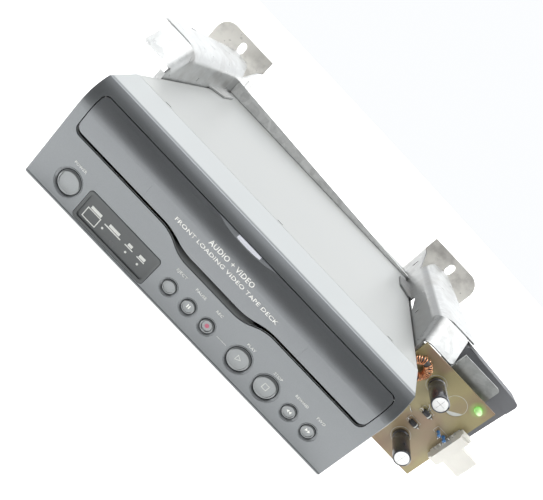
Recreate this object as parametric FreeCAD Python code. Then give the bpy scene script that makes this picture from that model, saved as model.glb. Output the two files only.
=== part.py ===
import FreeCAD, Part
import math
import os

# Mobile video cassette recorder held in a pair of steel mounting brackets, with an open power
# module on the right-hand bracket. Millimetres. X to the right, Y to the back, Z up.
# The origin is the centre of the recorder's flat underside.

V = FreeCAD.Vector
AXIS_X = V(1, 0, 0)
AXIS_Y = V(0, 1, 0)
AXIS_Z = V(0, 0, 1)

# ---------------------------------------------------------------- driving dimensions
WIDTH = 270.0
HEIGHT = 86.0
DEPTH = 295.0
HALF = WIDTH / 2
FRONT = -DEPTH / 2
BACK = DEPTH / 2

BEZEL_DEPTH = 41.0
BEZEL_WALL = 2.5
SEAM = FRONT + BEZEL_DEPTH
BROW_START_Z = 58.0
BROW_RADIUS = 32.6
BROW_EDGE_Z = 81.5

SHEET = 1.0
PAN_SHEET = 1.2
COVER_GAP = 0.3

DOOR_HALF = 126.2
DOOR_TOP = 73.2
DOOR_BOTTOM = 45.8
DOOR_BELLY = 40.7
DOOR_SKIN = 2.4
OPENING_HALF = 126.9
OPENING_TOP = 73.8
OPENING_BOTTOM = 43.2
OPENING_BELLY = 35.3
BELLY_OUTER_X = 50.0
BELLY_INNER_X = 20.4
SILL_HALF = 46.0
SILL_DEPTH = 14.0
HINGE_Y = FRONT + 5.3
HINGE_Z = 71.4
HINGE_ROD = 0.75
HINGE_BARREL = 1.9

BUTTON_Z = 16.3
LARGE_RING = 9.9
SMALL_RING = 6.4
BUTTON_GAP = 1.45
LARGE_BUTTONS = {"power_button": -108.7, "play_button": 44.5, "stop_button": 69.1}
SMALL_BUTTONS = {
    "eject_button": -18.5,
    "pause_button": -1.25,
    "record_button": 15.6,
    "rewind_button": 90.7,
    "forward_button": 108.1,
}
WINDOW_X = -63.5
WINDOW_Z = 13.9
WINDOW_WIDTH = 62.4
WINDOW_HEIGHT = 22.4

DECK_Z = 22.0
DECK_SHEET = 1.5
DECK_TOP = DECK_Z + DECK_SHEET
REEL_X = 46.0
REEL_Y = 4.0
DRUM_Y = 104.0
DRUM_RADIUS = 31.0
DRUM_SHAFT = 3.0
CAPSTAN_X = 54.0
CAPSTAN_Y = 84.0
BASKET_HALF = 97.0
BASKET_FRONT = -100.0
BASKET_LENGTH = 106.0
BASKET_FLOOR = 42.4
BASKET_ROOF = 69.8
GEAR_MODULE = 1.0

BRACKET_SHEET = 1.5
WEB_X = HALF + 0.7
FLANGE_TOP = 115.0
FLANGE_EDGE_X = 172.0
FLANGE_BEND = 12.0
NOSE_EDGE_X = 165.0
EAR_Y = 170.5
SLOT_X = 173.0
SLOT_Z = 119.5
SLOT_WIDTH = 8.5
SLOT_HEIGHT = 13.5

BOARD_FRONT = -67.5
BOARD_SHEET = 1.6
BOARD_LEFT = 138.0
BOARD_RIGHT = 211.5
BOARD_LOW = 10.5
BOARD_HIGH = 94.5
HEAT_SINK_FRONT = -60.5
CASE_FRONT = -47.5
SOCKET_Z = 52.6


# ---------------------------------------------------------------- helpers
def box(x0, x1, y0, y1, z0, z1):
    return Part.makeBox(x1 - x0, y1 - y0, z1 - z0, V(x0, y0, z0))


def rod(x, y, z, direction, radius, length):
    return Part.makeCylinder(radius, length, V(x, y, z), direction)


def tube(x, y, z, direction, outer, inner, length):
    return rod(x, y, z, direction, outer, length).cut(rod(x, y, z, direction, inner, length))


def join(shapes):
    result = shapes[0]
    for shape in shapes[1:]:
        result = result.fuse(shape)
    return result.removeSplitter()


def cut_all(shape, cutters):
    for cutter in cutters:
        shape = shape.cut(cutter)
    return shape


def prism(points, direction):
    """Closed polygon of points, pushed along a vector."""
    wire = Part.makePolygon(list(points) + [points[0]])
    return Part.Face(wire).extrude(direction)


def prism_x(yz_points, x0, x1):
    return prism([V(x0, y, z) for y, z in yz_points], V(x1 - x0, 0, 0))


def prism_y(xz_points, y0, y1):
    return prism([V(x, y0, z) for x, z in xz_points], V(0, y1 - y0, 0))


def prism_z(xy_points, z0, z1):
    return prism([V(x, y, z0) for x, y in xy_points], V(0, 0, z1 - z0))


def wire_prism(edges, direction):
    return Part.Face(Part.Wire(edges)).extrude(direction)


def line(a, b):
    return Part.LineSegment(a, b).toShape()


def arc(a, middle, b):
    return Part.Arc(a, middle, b).toShape()


def corner_middle(centre, radius, u, w):
    """Middle of a quarter arc about a centre, between the directions u and w."""
    diagonal = math.sqrt(0.5)
    return centre + (u + w) * (radius * diagonal)


def rounded_plate(u, w, half_u, half_w, radius, centre, push):
    """Rounded rectangle in the plane of u and w about a centre, pushed along a vector."""
    def at(a, b):
        return centre + u * a + w * b

    inner_u = half_u - radius
    inner_w = half_w - radius
    edges = []
    turns = [(u, w), (w, -u), (-u, -w), (-w, u)]
    spots = [(1, 1), (-1, 1), (-1, -1), (1, -1)]
    starts = []
    ends = []
    for (first, second), (sign_u, sign_w) in zip(turns, spots):
        middle = at(sign_u * inner_u, sign_w * inner_w)
        start = middle + first * radius
        end = middle + second * radius
        edges.append((start, corner_middle(middle, radius, first, second), end))
        starts.append(start)
        ends.append(end)
    loop = []
    for index, points in enumerate(edges):
        loop.append(arc(*points))
        loop.append(line(ends[index], starts[(index + 1) % 4]))
    return wire_prism(loop, push)


def rounded_front(x, z, width, height, radius, y0, y1):
    return rounded_plate(AXIS_X, AXIS_Z, width / 2, height / 2, radius, V(x, y0, z), V(0, y1 - y0, 0))


def rounded_flat(x, y, width, length, radius, z0, z1):
    return rounded_plate(AXIS_X, AXIS_Y, width / 2, length / 2, radius, V(x, y, z0), V(0, 0, z1 - z0))


def rounded_side(y, z, length, height, radius, x0, x1):
    return rounded_plate(AXIS_Y, AXIS_Z, length / 2, height / 2, radius, V(x0, y, z), V(x1 - x0, 0, 0))


def mirrored(shape):
    return shape.mirror(V(0, 0, 0), AXIS_X)


def gear(x, y, z0, z1, teeth, phase=0.0):
    """Spur gear with straight-flanked teeth, thinned a little for backlash."""
    pitch = teeth * GEAR_MODULE / 2
    root = pitch - 1.15 * GEAR_MODULE
    tip = pitch + 0.85 * GEAR_MODULE
    step = 2 * math.pi / teeth
    outline = []
    flanks = [(-0.30, root), (-0.13, tip), (0.13, tip), (0.30, root)]
    for index in range(teeth):
        for share, radius in flanks:
            angle = phase + (index + share) * step
            outline.append((x + radius * math.cos(angle), y + radius * math.sin(angle)))
    return prism_z(outline, z0, z1)


# ---------------------------------------------------------------- front of the casing
def brow_y(z, depth=0.0):
    """Depth of the front face at a height, or of a skin that far inside it."""
    if z <= BROW_START_Z:
        return FRONT + depth
    rise = z - BROW_START_Z
    return FRONT + BROW_RADIUS - math.sqrt((BROW_RADIUS - depth) ** 2 - rise ** 2)


def front_skin(near, far, x0, x1, z0, z1):
    """Slice of the front face between two depths, which follows its curve."""
    def curve(depth):
        middle_z = (BROW_START_Z + z1) / 2
        ends = V(x0, brow_y(BROW_START_Z, depth), BROW_START_Z), V(x0, brow_y(z1, depth), z1)
        return ends[0], V(x0, brow_y(middle_z, depth), middle_z), ends[1]

    low_near = V(x0, FRONT + near, z0)
    low_far = V(x0, FRONT + far, z0)
    a0, a1, a2 = curve(near)
    b0, b1, b2 = curve(far)
    edges = [line(low_near, a0), arc(a0, a1, a2), line(a2, b2), arc(b2, b1, b0), line(b0, low_far),
             line(low_far, low_near)]
    return wire_prism(edges, V(x1 - x0, 0, 0))


def casing_side(inset, y_back):
    """Side outline of the bezel, drawn that far inside its outer faces."""
    top_back = HEIGHT - inset
    edge_z = BROW_EDGE_Z - inset
    low = V(0, FRONT + inset, inset)
    bend = V(0, FRONT + inset, BROW_START_Z)
    brow = V(0, brow_y(edge_z, inset), edge_z)
    middle_z = (BROW_START_Z + edge_z) / 2
    middle = V(0, brow_y(middle_z, inset), middle_z)
    roof = V(0, y_back, top_back)
    heel = V(0, y_back, inset)
    return [line(low, bend), arc(bend, middle, brow), line(brow, roof), line(roof, heel), line(heel, low)]


def casing_block(inset, half, y_back):
    solid = wire_prism(casing_side(inset, y_back), V(2 * half, 0, 0))
    solid.translate(V(-half, 0, 0))
    return solid


def s_curve(x_high, z_high, x_low, z_low):
    """Two equal arcs, level at both ends, from a high point to a low one."""
    run = abs(x_high - x_low) / 2
    drop = (z_high - z_low) / 2
    radius = (run ** 2 + drop ** 2) / (2 * drop)
    half_turn = math.asin(run / radius) / 2
    way = 1 if x_low > x_high else -1
    crest = V(x_high + way * radius * math.sin(half_turn), 0, z_high - radius * (1 - math.cos(half_turn)))
    trough = V(x_low - way * radius * math.sin(half_turn), 0, z_low + radius * (1 - math.cos(half_turn)))
    start = V(x_high, 0, z_high)
    middle = V((x_high + x_low) / 2, 0, (z_high + z_low) / 2)
    end = V(x_low, 0, z_low)
    return [(start, crest, middle), (middle, trough, end)]


def door_shape(half, top, bottom, belly, top_radius, bottom_radius, y0, y1):
    """Wide rounded outline whose lower edge dips in the middle."""
    def p(x, z):
        return V(x, 0, z)

    diagonal = math.sqrt(0.5)
    edges = [line(p(-half + top_radius, top), p(half - top_radius, top))]
    centre = p(half - top_radius, top - top_radius)
    edges.append(arc(p(half - top_radius, top), centre + V(diagonal, 0, diagonal) * top_radius,
                     p(half, top - top_radius)))
    edges.append(line(p(half, top - top_radius), p(half, bottom + bottom_radius)))
    centre = p(half - bottom_radius, bottom + bottom_radius)
    edges.append(arc(p(half, bottom + bottom_radius), centre + V(diagonal, 0, -diagonal) * bottom_radius,
                     p(half - bottom_radius, bottom)))
    edges.append(line(p(half - bottom_radius, bottom), p(BELLY_OUTER_X, bottom)))
    for points in s_curve(BELLY_OUTER_X, bottom, BELLY_INNER_X, belly):
        edges.append(arc(*points))
    edges.append(line(p(BELLY_INNER_X, belly), p(-BELLY_INNER_X, belly)))
    left = s_curve(-BELLY_OUTER_X, bottom, -BELLY_INNER_X, belly)
    for start, middle, end in reversed(left):
        edges.append(arc(end, middle, start))
    edges.append(line(p(-BELLY_OUTER_X, bottom), p(-half + bottom_radius, bottom)))
    centre = p(-half + bottom_radius, bottom + bottom_radius)
    edges.append(arc(p(-half + bottom_radius, bottom), centre + V(-diagonal, 0, -diagonal) * bottom_radius,
                     p(-half, bottom + bottom_radius)))
    edges.append(line(p(-half, bottom + bottom_radius), p(-half, top - top_radius)))
    centre = p(-half + top_radius, top - top_radius)
    edges.append(arc(p(-half, top - top_radius), centre + V(-diagonal, 0, diagonal) * top_radius,
                     p(-half + top_radius, top)))
    solid = wire_prism(edges, V(0, y1 - y0, 0))
    solid.translate(V(0, y0, 0))
    return solid


def button_holes(x, ring):
    """Hole for one button, with its sloping collar and the fine groove round it."""
    hole = ring - 1.2
    bore = rod(x, FRONT - 1, BUTTON_Z, AXIS_Y, hole, BEZEL_WALL + 2)
    collar = Part.makeCone(ring - 0.35, hole, 0.8, V(x, FRONT, BUTTON_Z), AXIS_Y)
    groove = tube(x, FRONT - 1, BUTTON_Z, AXIS_Y, ring + 0.3, ring - 0.05, 1.35)
    return [bore, collar, groove]


def front_bezel():
    bezel = casing_block(0.0, HALF, SEAM - COVER_GAP)
    edge_radius = 1.1
    rounded = []
    for edge in bezel.Edges:
        centre = edge.CenterOfMass
        on_side = abs(abs(centre.x) - HALF) < 0.01
        at_back = abs(centre.y - (SEAM - COVER_GAP)) < 0.01
        brow_ridge = abs(centre.x) < 0.01 and abs(centre.z - BROW_EDGE_Z) < 0.01
        sole = abs(centre.x) < 0.01 and abs(centre.z) < 0.01 and centre.y < FRONT + 1
        if (on_side and not at_back) or brow_ridge or sole:
            rounded.append(edge)
    bezel = bezel.makeFillet(edge_radius, rounded)
    hollow = casing_block(BEZEL_WALL, HALF - BEZEL_WALL, SEAM + 5)
    bezel = bezel.cut(hollow)
    bezel = bezel.cut(door_shape(OPENING_HALF, OPENING_TOP, OPENING_BOTTOM, OPENING_BELLY, 4.2, 5.2,
                                 FRONT - 5, FRONT + 8))
    for x in LARGE_BUTTONS.values():
        bezel = cut_all(bezel, button_holes(x, LARGE_RING))
    for x in SMALL_BUTTONS.values():
        bezel = cut_all(bezel, button_holes(x, SMALL_RING))
    window = rounded_front(WINDOW_X, WINDOW_Z, WINDOW_WIDTH + 0.5, WINDOW_HEIGHT + 0.5, 2.9,
                           FRONT - 1, FRONT + 4)
    bezel = bezel.cut(window)
    sole_groove = box(-HALF - 1, HALF + 1, FRONT - 1, FRONT + 0.5, 1.5, 2.0)
    bezel = bezel.cut(sole_groove)
    for side in (-1, 1):
        block = box(OPENING_HALF + 0.4, HALF - BEZEL_WALL + 0.2, FRONT + BEZEL_WALL - 0.2, FRONT + 9, 68.5, 75.5)
        block = block.common(casing_block(BEZEL_WALL - 0.3, HALF, SEAM))
        if side < 0:
            block = mirrored(block)
        bezel = bezel.fuse(block)
    sill = box(-SILL_HALF, SILL_HALF, FRONT + BEZEL_WALL - 0.2, FRONT + SILL_DEPTH,
               OPENING_BELLY - 1.9, OPENING_BELLY - 0.1)
    bezel = bezel.fuse(sill)
    bezel = bezel.cut(rod(-131.5, HINGE_Y, HINGE_Z, AXIS_X, HINGE_ROD + 0.02, 263.0))
    return bezel.removeSplitter()


SCOOP_LOW = 70.2
SCOOP_X = -4.0
TAB_LEFT = -11.4
TAB_RIGHT = 7.9


def finger_scoop():
    """Shallow lens-shaped recess in the middle of the door's top edge."""
    radius = 360.0
    tilt = math.radians(50)
    lean = V(0, math.cos(tilt), math.sin(tilt))
    lowest = V(SCOOP_X, brow_y(SCOOP_LOW), SCOOP_LOW)
    across = V(0, -math.sin(tilt), math.cos(tilt))
    centre = lowest + across * radius - lean * 20
    scoop = Part.makeCylinder(radius, 40, centre, lean)
    return scoop.common(box(-40, 40, FRONT - 5, FRONT + 4.9, 60, 80))


def cassette_door():
    skin = front_skin(0.0, DOOR_SKIN, -DOOR_HALF, DOOR_HALF, 30, 76)
    outline = door_shape(DOOR_HALF, DOOR_TOP, DOOR_BOTTOM, DOOR_BELLY, 3.8, 4.8, FRONT - 5, FRONT + 20)
    door = skin.common(outline)
    lip = front_skin(1.2, 4.0, -DOOR_HALF + 6, DOOR_HALF - 6, 30, 76)
    lip_band = door_shape(DOOR_HALF - 6, DOOR_TOP - 2, DOOR_BOTTOM, DOOR_BELLY, 3, 3, FRONT - 5, FRONT + 20)
    lip_core = door_shape(DOOR_HALF - 4, DOOR_TOP, DOOR_BOTTOM + 1.6, DOOR_BELLY + 1.6, 3, 3,
                          FRONT - 6, FRONT + 21)
    lip = lip.common(lip_band).cut(lip_core)
    door = door.fuse(lip)
    barrel_half = DOOR_HALF - 4.2
    barrel = rod(-barrel_half, HINGE_Y, HINGE_Z, AXIS_X, HINGE_BARREL, 2 * barrel_half)
    spring_seat = box(96, 111, FRONT + 3.2, FRONT + 12, 66, 75)
    door = door.fuse(barrel.cut(spring_seat))
    door = door.cut(rod(-130, HINGE_Y, HINGE_Z, AXIS_X, HINGE_ROD + 0.05, 260))
    door = door.cut(rod(95.8, HINGE_Y, HINGE_Z, AXIS_X, HINGE_BARREL + 0.25, 15.4))
    door = door.cut(finger_scoop())
    for x in (-68.8, 66.6):
        door = door.cut(box(x - 0.12, x + 0.12, FRONT - 1, FRONT + 0.18, 40, 56))
    return door.removeSplitter()


def door_tab():
    """Light tab that sits in the scoop at the top of the door."""
    band = front_skin(0.2, 1.9, TAB_LEFT, TAB_RIGHT, SCOOP_LOW + 0.1, DOOR_TOP - 0.1)
    return band.common(finger_scoop())


def door_hinge_rod():
    return rod(-131, HINGE_Y, HINGE_Z, AXIS_X, HINGE_ROD, 262)


def door_spring():
    """Torsion spring drawn as the sleeve that its coils fill."""
    return tube(97, HINGE_Y, HINGE_Z, AXIS_X, HINGE_BARREL, HINGE_ROD + 0.3, 13)


def push_button(x, ring):
    """Button cap with a retaining flange and a stem; its face is dished between two flats."""
    radius = ring - BUTTON_GAP
    face = FRONT + 0.5
    cap = rod(x, face, BUTTON_Z, AXIS_Y, radius, FRONT + 7.0 - face)
    rim = 0.15 + 0.13 * radius
    rim_edges = [edge for edge in cap.Edges if abs(edge.CenterOfMass.y - face) < 0.01]
    cap = cap.makeFillet(rim, rim_edges)
    dish_radius = radius * 3.2
    dish_depth = 0.75
    dish = rod(x - radius * 0.8, face - dish_radius + dish_depth, BUTTON_Z, AXIS_X, dish_radius, radius * 1.6)
    dish = dish.common(rod(x, FRONT - 5, BUTTON_Z, AXIS_Y, radius - rim - 0.25, 20))
    flange = rod(x, FRONT + 2.9, BUTTON_Z, AXIS_Y, ring - 0.5, 1.2)
    stem = rod(x, FRONT + 6.9, BUTTON_Z, AXIS_Y, 1.6, 1.9)
    return join([cap.cut(dish), flange, stem])


def record_button(x, ring):
    """Button with a raised rim round a small flat face."""
    radius = ring - BUTTON_GAP
    face = FRONT + 0.3
    cap = rod(x, face, BUTTON_Z, AXIS_Y, radius, FRONT + 7.0 - face)
    rim_edges = [edge for edge in cap.Edges if abs(edge.CenterOfMass.y - face) < 0.01]
    cap = cap.makeFillet(0.8, rim_edges)
    well = Part.makeCone(radius - 1.0, radius - 1.7, 0.9, V(x, face, BUTTON_Z), AXIS_Y)
    flange = rod(x, FRONT + 2.9, BUTTON_Z, AXIS_Y, ring - 0.5, 1.2)
    stem = rod(x, FRONT + 6.9, BUTTON_Z, AXIS_Y, 1.6, 1.9)
    return join([cap.cut(well), flange, stem])


def display_lens():
    """Smoked window: a raised frame round a lower panel."""
    block = rounded_front(WINDOW_X, WINDOW_Z, WINDOW_WIDTH, WINDOW_HEIGHT, 2.65, FRONT - 0.4, FRONT + 3.5)
    pocket = rounded_front(WINDOW_X, WINDOW_Z, WINDOW_WIDTH - 4.4, WINDOW_HEIGHT - 4.4, 1.8,
                           FRONT - 1, FRONT + 0.7)
    rims = [edge for edge in block.Edges if abs(edge.CenterOfMass.y - (FRONT - 0.4)) < 0.01]
    return block.makeFillet(0.5, rims).cut(pocket)


# ---------------------------------------------------------------- casing
def bottom_pan():
    floor = box(-HALF + 1.4, HALF - 1.4, SEAM, BACK - 0.4, 0, PAN_SHEET)
    walls = [box(side * (HALF - 2.0) - 0.6, side * (HALF - 2.0) + 0.6, SEAM, BACK - 3, 0, 30) for side in (-1, 1)]
    pan = join([floor] + walls)
    vents = []
    for row in range(9):
        y = 0 + row * 9.0
        vents.append(rounded_flat(-82, y, 44, 3, 1.4, -1, 3))
        vents.append(rounded_flat(82, y, 44, 3, 1.4, -1, 3))
    return cut_all(pan, vents)


def top_cover():
    outer = box(-HALF, HALF, SEAM, BACK, 1.4, HEIGHT)
    bends = [e for e in outer.Edges if abs(abs(e.CenterOfMass.x) - HALF) < 0.01
             and abs(e.CenterOfMass.z - HEIGHT) < 0.01 and e.Length > 200]
    outer = outer.makeFillet(1.8, bends)
    inner = box(-HALF + SHEET, HALF - SHEET, SEAM - 1, BACK + 1, 0, HEIGHT - SHEET)
    bends = [e for e in inner.Edges if abs(abs(e.CenterOfMass.x) - HALF + SHEET) < 0.01
             and abs(e.CenterOfMass.z - HEIGHT + SHEET) < 0.01 and e.Length > 200]
    inner = inner.makeFillet(0.8, bends)
    cover = outer.cut(inner)
    cover = cover.cut(box(-200, 200, SEAM - 5, SEAM, 0, 100))
    notches = [box(x - 2.4, x + 2.4, SEAM + 1.6, SEAM + 2.9, 80, 90) for x in (-107, 0, 107)]
    vents = []
    for row in range(12):
        y = 30 + row * 8.0
        vents.append(box(-HALF - 1, HALF + 1, y, y + 3, 12, 40))
    return cut_all(cover, notches + vents)


def rear_panel():
    panel = box(-HALF + 3.0, HALF - 3.0, BACK - 2.6, BACK - 1.4, PAN_SHEET + 0.1, HEIGHT - SHEET - 0.3)
    holes = []
    for index in range(3):
        x = -96 + index * 17
        holes.append(rod(x, BACK - 10, 24, AXIS_Y, 5.0, 20))
        holes.append(rod(x, BACK - 10, 42, AXIS_Y, 5.0, 20))
    holes.append(box(30, 50, BACK - 10, BACK + 10, 18, 30))
    for row in range(10):
        holes.append(rounded_front(-20 + row * 7, 62, 3, 20, 1.4, BACK - 10, BACK + 10))
    return cut_all(panel, holes)


def case_screws():
    screws = []
    for x in (-118, 0, 118):
        head = rod(x, BACK - 1.4, 75, AXIS_Y, 3.0, 1.3)
        slot = box(x - 2.0, x + 2.0, BACK - 0.6, BACK, 74.7, 75.3)
        cross = box(x - 0.3, x + 0.3, BACK - 0.6, BACK, 73, 77)
        shank = rod(x, BACK - 9, 75, AXIS_Y, 1.25, 7.6)
        screws.append(head.cut(slot).cut(cross).fuse(shank))
    return screws


def drill_rear_panel(panel):
    return cut_all(panel, [rod(x, BACK - 10, 75, AXIS_Y, 1.3, 20) for x in (-118, 0, 118)])


def av_jacks():
    jacks = []
    for index in range(3):
        x = -96 + index * 17
        for z in (24, 42):
            collar = rod(x, BACK - 7, z, AXIS_Y, 4.8, 7.4)
            barrel = rod(x, BACK + 0.3, z, AXIS_Y, 4.15, 8.2)
            bore = rod(x, BACK - 1, z, AXIS_Y, 1.7, 12)
            jacks.append(collar.fuse(barrel).cut(bore))
    return jacks


def dc_inlet():
    block = box(30.2, 49.8, BACK - 9, BACK + 1.0, 18.2, 29.8)
    return block.cut(box(32, 48, BACK - 7, BACK + 2, 20, 28))


def side_frames():
    frames = []
    for side in (-1, 1):
        plate = prism_x([(-98, 1.3), (120, 1.3), (120, 60), (40, 60), (30, 80), (-98, 80)],
                        side * 120 - 0.6, side * 120 + 0.6)
        window = prism_x([(-80, 34), (20, 34), (20, 62), (-80, 62)], side * 120 - 5, side * 120 + 5)
        frames.append(plate.cut(window))
    return frames


# ---------------------------------------------------------------- tape mechanism
def deck_plate():
    plate = box(-119.2, 119.2, -94, 138, DECK_Z, DECK_TOP)
    holes = [rod(0, DRUM_Y, 10, AXIS_Z, 12, 20), rod(CAPSTAN_X, CAPSTAN_Y, 10, AXIS_Z, 4.05, 20)]
    for side in (-1, 1):
        holes.append(rod(side * REEL_X, REEL_Y, 10, AXIS_Z, 2.0, 20))
        holes.append(track_slot(side, 3.4, 10, 30))
    holes.append(rod(CLUTCH_X, CLUTCH_Y, 10, AXIS_Z, 2.06, 20))
    holes.append(rounded_flat(0, -62, 120, 26, 6, 10, 30))
    holes.append(rod(CAM_X, CAM_Y, 10, AXIS_Z, 2.0, 20))
    holes.append(rod(PINCH_PIVOT_X, PINCH_PIVOT_Y, 10, AXIS_Z, 2.0, 20))
    return cut_all(plate, holes)


GUIDE_START = V(33, 60, 0)
GUIDE_END = V(42, 96, 0)


def track_slot(side, width, z0, z1):
    """Straight slot in the deck that one tape guide slides along."""
    direction = GUIDE_END - GUIDE_START
    length = direction.Length
    along = direction * (1 / length)
    across = V(-along.y, along.x, 0)
    start = GUIDE_START - along * 3
    end = GUIDE_END + along * 3
    corners = [start + across * width, end + across * width, end - across * width, start - across * width]
    return prism_z([(side * p.x, p.y) for p in corners], z0, z1)


def tape_guide(side):
    """Sliding shoe with an upright roller post and its lower pin."""
    x = side * GUIDE_START.x
    y = GUIDE_START.y
    shoe = rod(x, y, DECK_TOP + 0.2, AXIS_Z, 5.5, 3)
    tongue = rod(x, y, DECK_Z - 1.5, AXIS_Z, 3.0, 6)
    foot = rod(x, y, DECK_Z - 2.7, AXIS_Z, 4.6, 2.3)
    post = rod(x, y, DECK_TOP + 3, AXIS_Z, 1.5, 25)
    roller = rod(x, y, DECK_TOP + 6, AXIS_Z, 3.0, 17)
    flange = rod(x, y, DECK_TOP + 23, AXIS_Z, 3.8, 2)
    return join([shoe, tongue, foot, post, roller, flange])


def drum_base():
    base = rod(0, DRUM_Y, DECK_TOP, AXIS_Z, DRUM_RADIUS, 15)
    ledge = tube(0, DRUM_Y, DECK_TOP + 11, AXIS_Z, DRUM_RADIUS + 1, DRUM_RADIUS - 1.2, 2)
    boss = rod(0, DRUM_Y, DECK_Z - 6, AXIS_Z, 11.5, 8)
    bore = rod(0, DRUM_Y, 0, AXIS_Z, DRUM_SHAFT + 0.05, 60)
    return join([base, boss]).cut(bore).cut(ledge)


def head_drum():
    low = DECK_TOP + 15.3
    shell = rod(0, DRUM_Y, low, AXIS_Z, DRUM_RADIUS, 17)
    rim = [e for e in shell.Edges if abs(e.CenterOfMass.z - low - 17) < 0.01]
    shell = shell.makeFillet(1.0, rim)
    well = tube(0, DRUM_Y, low + 13, AXIS_Z, 24, 10, 6)
    holes = [rod(x, DRUM_Y, low + 8, AXIS_Z, 2.0, 20) for x in (-18, 18)]
    heads = [box(side * 30.2 - 1.6, side * 30.2 + 1.6, DRUM_Y - 3, DRUM_Y + 3, low - 1, low + 1.4)
             for side in (-1, 1)]
    bore = rod(0, DRUM_Y, low - 1, AXIS_Z, DRUM_SHAFT, 30)
    return cut_all(shell, [well, bore] + holes + heads)


def drum_shaft():
    return rod(0, DRUM_Y, DECK_Z - 6, AXIS_Z, DRUM_SHAFT, 34.3)


def capstan_bearing():
    return tube(CAPSTAN_X, CAPSTAN_Y, DECK_Z - 3, AXIS_Z, 4.0, 2.05, 12)


def capstan_shaft():
    return rod(CAPSTAN_X, CAPSTAN_Y, 9.5, AXIS_Z, 2.0, 44)


def capstan_flywheel():
    wheel = rod(CAPSTAN_X, CAPSTAN_Y, 10.5, AXIS_Z, 25, 6)
    groove = tube(CAPSTAN_X, CAPSTAN_Y, 12.5, AXIS_Z, 26, 24, 2)
    return wheel.cut(groove).cut(rod(CAPSTAN_X, CAPSTAN_Y, 0, AXIS_Z, 2.0, 40))


CLUTCH_X = 0.0
CLUTCH_TEETH = 18
IDLER_TEETH = 46
REEL_TEETH = 40
CLUTCH_PULLEY = 9.0
IDLER_DISTANCE = (CLUTCH_TEETH + IDLER_TEETH) * GEAR_MODULE / 2 + 0.3
CLUTCH_Y = REEL_Y - IDLER_DISTANCE


def drive_clutch():
    pulley = rod(CLUTCH_X, CLUTCH_Y, 11, AXIS_Z, CLUTCH_PULLEY + 1, 5)
    groove = tube(CLUTCH_X, CLUTCH_Y, 12.5, AXIS_Z, CLUTCH_PULLEY + 2, CLUTCH_PULLEY, 2)
    spindle = rod(CLUTCH_X, CLUTCH_Y, 11, AXIS_Z, 2.0, 14)
    pinion = gear(CLUTCH_X, CLUTCH_Y, DECK_TOP + 1.5, DECK_TOP + 5, CLUTCH_TEETH)
    tip = rod(CLUTCH_X, CLUTCH_Y, DECK_TOP + 4, AXIS_Z, 1.5, 4)
    return join([pulley.cut(groove), spindle, pinion, tip])


def idler_arm():
    """Arm that swings about the clutch and carries the idler between the two reel gears."""
    low = DECK_TOP + 5.4
    arm = rounded_flat(CLUTCH_X, (CLUTCH_Y + REEL_Y) / 2, 9, IDLER_DISTANCE + 9, 4.4, low, low + 1.2)
    pin = rod(CLUTCH_X, REEL_Y, DECK_TOP + 0.8, AXIS_Z, 1.5, 5)
    return join([arm, pin]).cut(rod(CLUTCH_X, CLUTCH_Y, low - 1, AXIS_Z, 1.56, 5))


def idler_gear():
    """The clutch has a tooth gap that faces the idler, and the idler has a tooth there."""
    phase = -math.pi / 2
    wheel = gear(CLUTCH_X, REEL_Y, DECK_TOP + 1.5, DECK_TOP + 5, IDLER_TEETH, phase)
    web = tube(CLUTCH_X, REEL_Y, DECK_TOP + 3.6, AXIS_Z, 19, 5, 3)
    return wheel.cut(web).cut(rod(CLUTCH_X, REEL_Y, 0, AXIS_Z, 1.56, 60))


def drive_belt():
    """Flat loop of rubber round the flywheel and the clutch pulley, under the deck."""
    big = V(CAPSTAN_X, CAPSTAN_Y, 0)
    small = V(CLUTCH_X, CLUTCH_Y, 0)
    return belt_loop(big, 24.9, small, CLUTCH_PULLEY + 0.9, 12.9, 1.2).cut(
        belt_loop(big, 24.1, small, CLUTCH_PULLEY + 0.1, 12.8, 1.4))


def belt_loop(first, first_radius, second, second_radius, z, height):
    """Solid bounded by two circles and the two straight runs that touch them."""
    between = second - first
    distance = between.Length
    along = between * (1 / distance)
    across = V(-along.y, along.x, 0)
    sine = (first_radius - second_radius) / distance
    cosine = math.sqrt(1 - sine ** 2)
    normals = [along * sine + across * cosine, along * sine - across * cosine]
    a = [first + normal * first_radius for normal in normals]
    b = [second + normal * second_radius for normal in normals]
    edges = [line(a[0], b[0]), arc(b[0], second + along * second_radius, b[1]), line(b[1], a[1]),
             arc(a[1], first - along * first_radius, a[0])]
    loop = wire_prism(edges, V(0, 0, height))
    loop.translate(V(0, 0, z))
    return loop


def reel_table(side):
    x = side * REEL_X
    disc = rod(x, REEL_Y, DECK_TOP + 0.6, AXIS_Z, 17, 3.0)
    teeth = gear(x, REEL_Y, DECK_TOP + 0.8, DECK_TOP + 3.2, REEL_TEETH)
    hub = Part.makeCone(9.6, 7.0, 13, V(x, REEL_Y, DECK_TOP + 3.6), AXIS_Z)
    fins = []
    for index in range(3):
        fin = box(x - 0.9, x + 0.9, REEL_Y, REEL_Y + 10.8, DECK_TOP + 3.6, DECK_TOP + 13)
        fin.rotate(V(x, REEL_Y, 0), AXIS_Z, 120 * index)
        fins.append(fin)
    bore = rod(x, REEL_Y, 0, AXIS_Z, 1.56, 60)
    return join([disc, teeth, hub] + fins).cut(bore)


def reel_spindles():
    return [rod(side * REEL_X, REEL_Y, DECK_Z - 1, AXIS_Z, 1.5, 19.5).fuse(
        rod(side * REEL_X, REEL_Y, DECK_Z - 1, AXIS_Z, 2.0, 2.5)) for side in (-1, 1)]


PINCH_PIVOT_X = 88.0
PINCH_PIVOT_Y = 80.0
PINCH_LENGTH = 25.4
PINCH_REACH_X = PINCH_PIVOT_X - PINCH_LENGTH * math.sin(math.radians(30))
PINCH_REACH_Y = PINCH_PIVOT_Y + PINCH_LENGTH * math.cos(math.radians(30))


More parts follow.
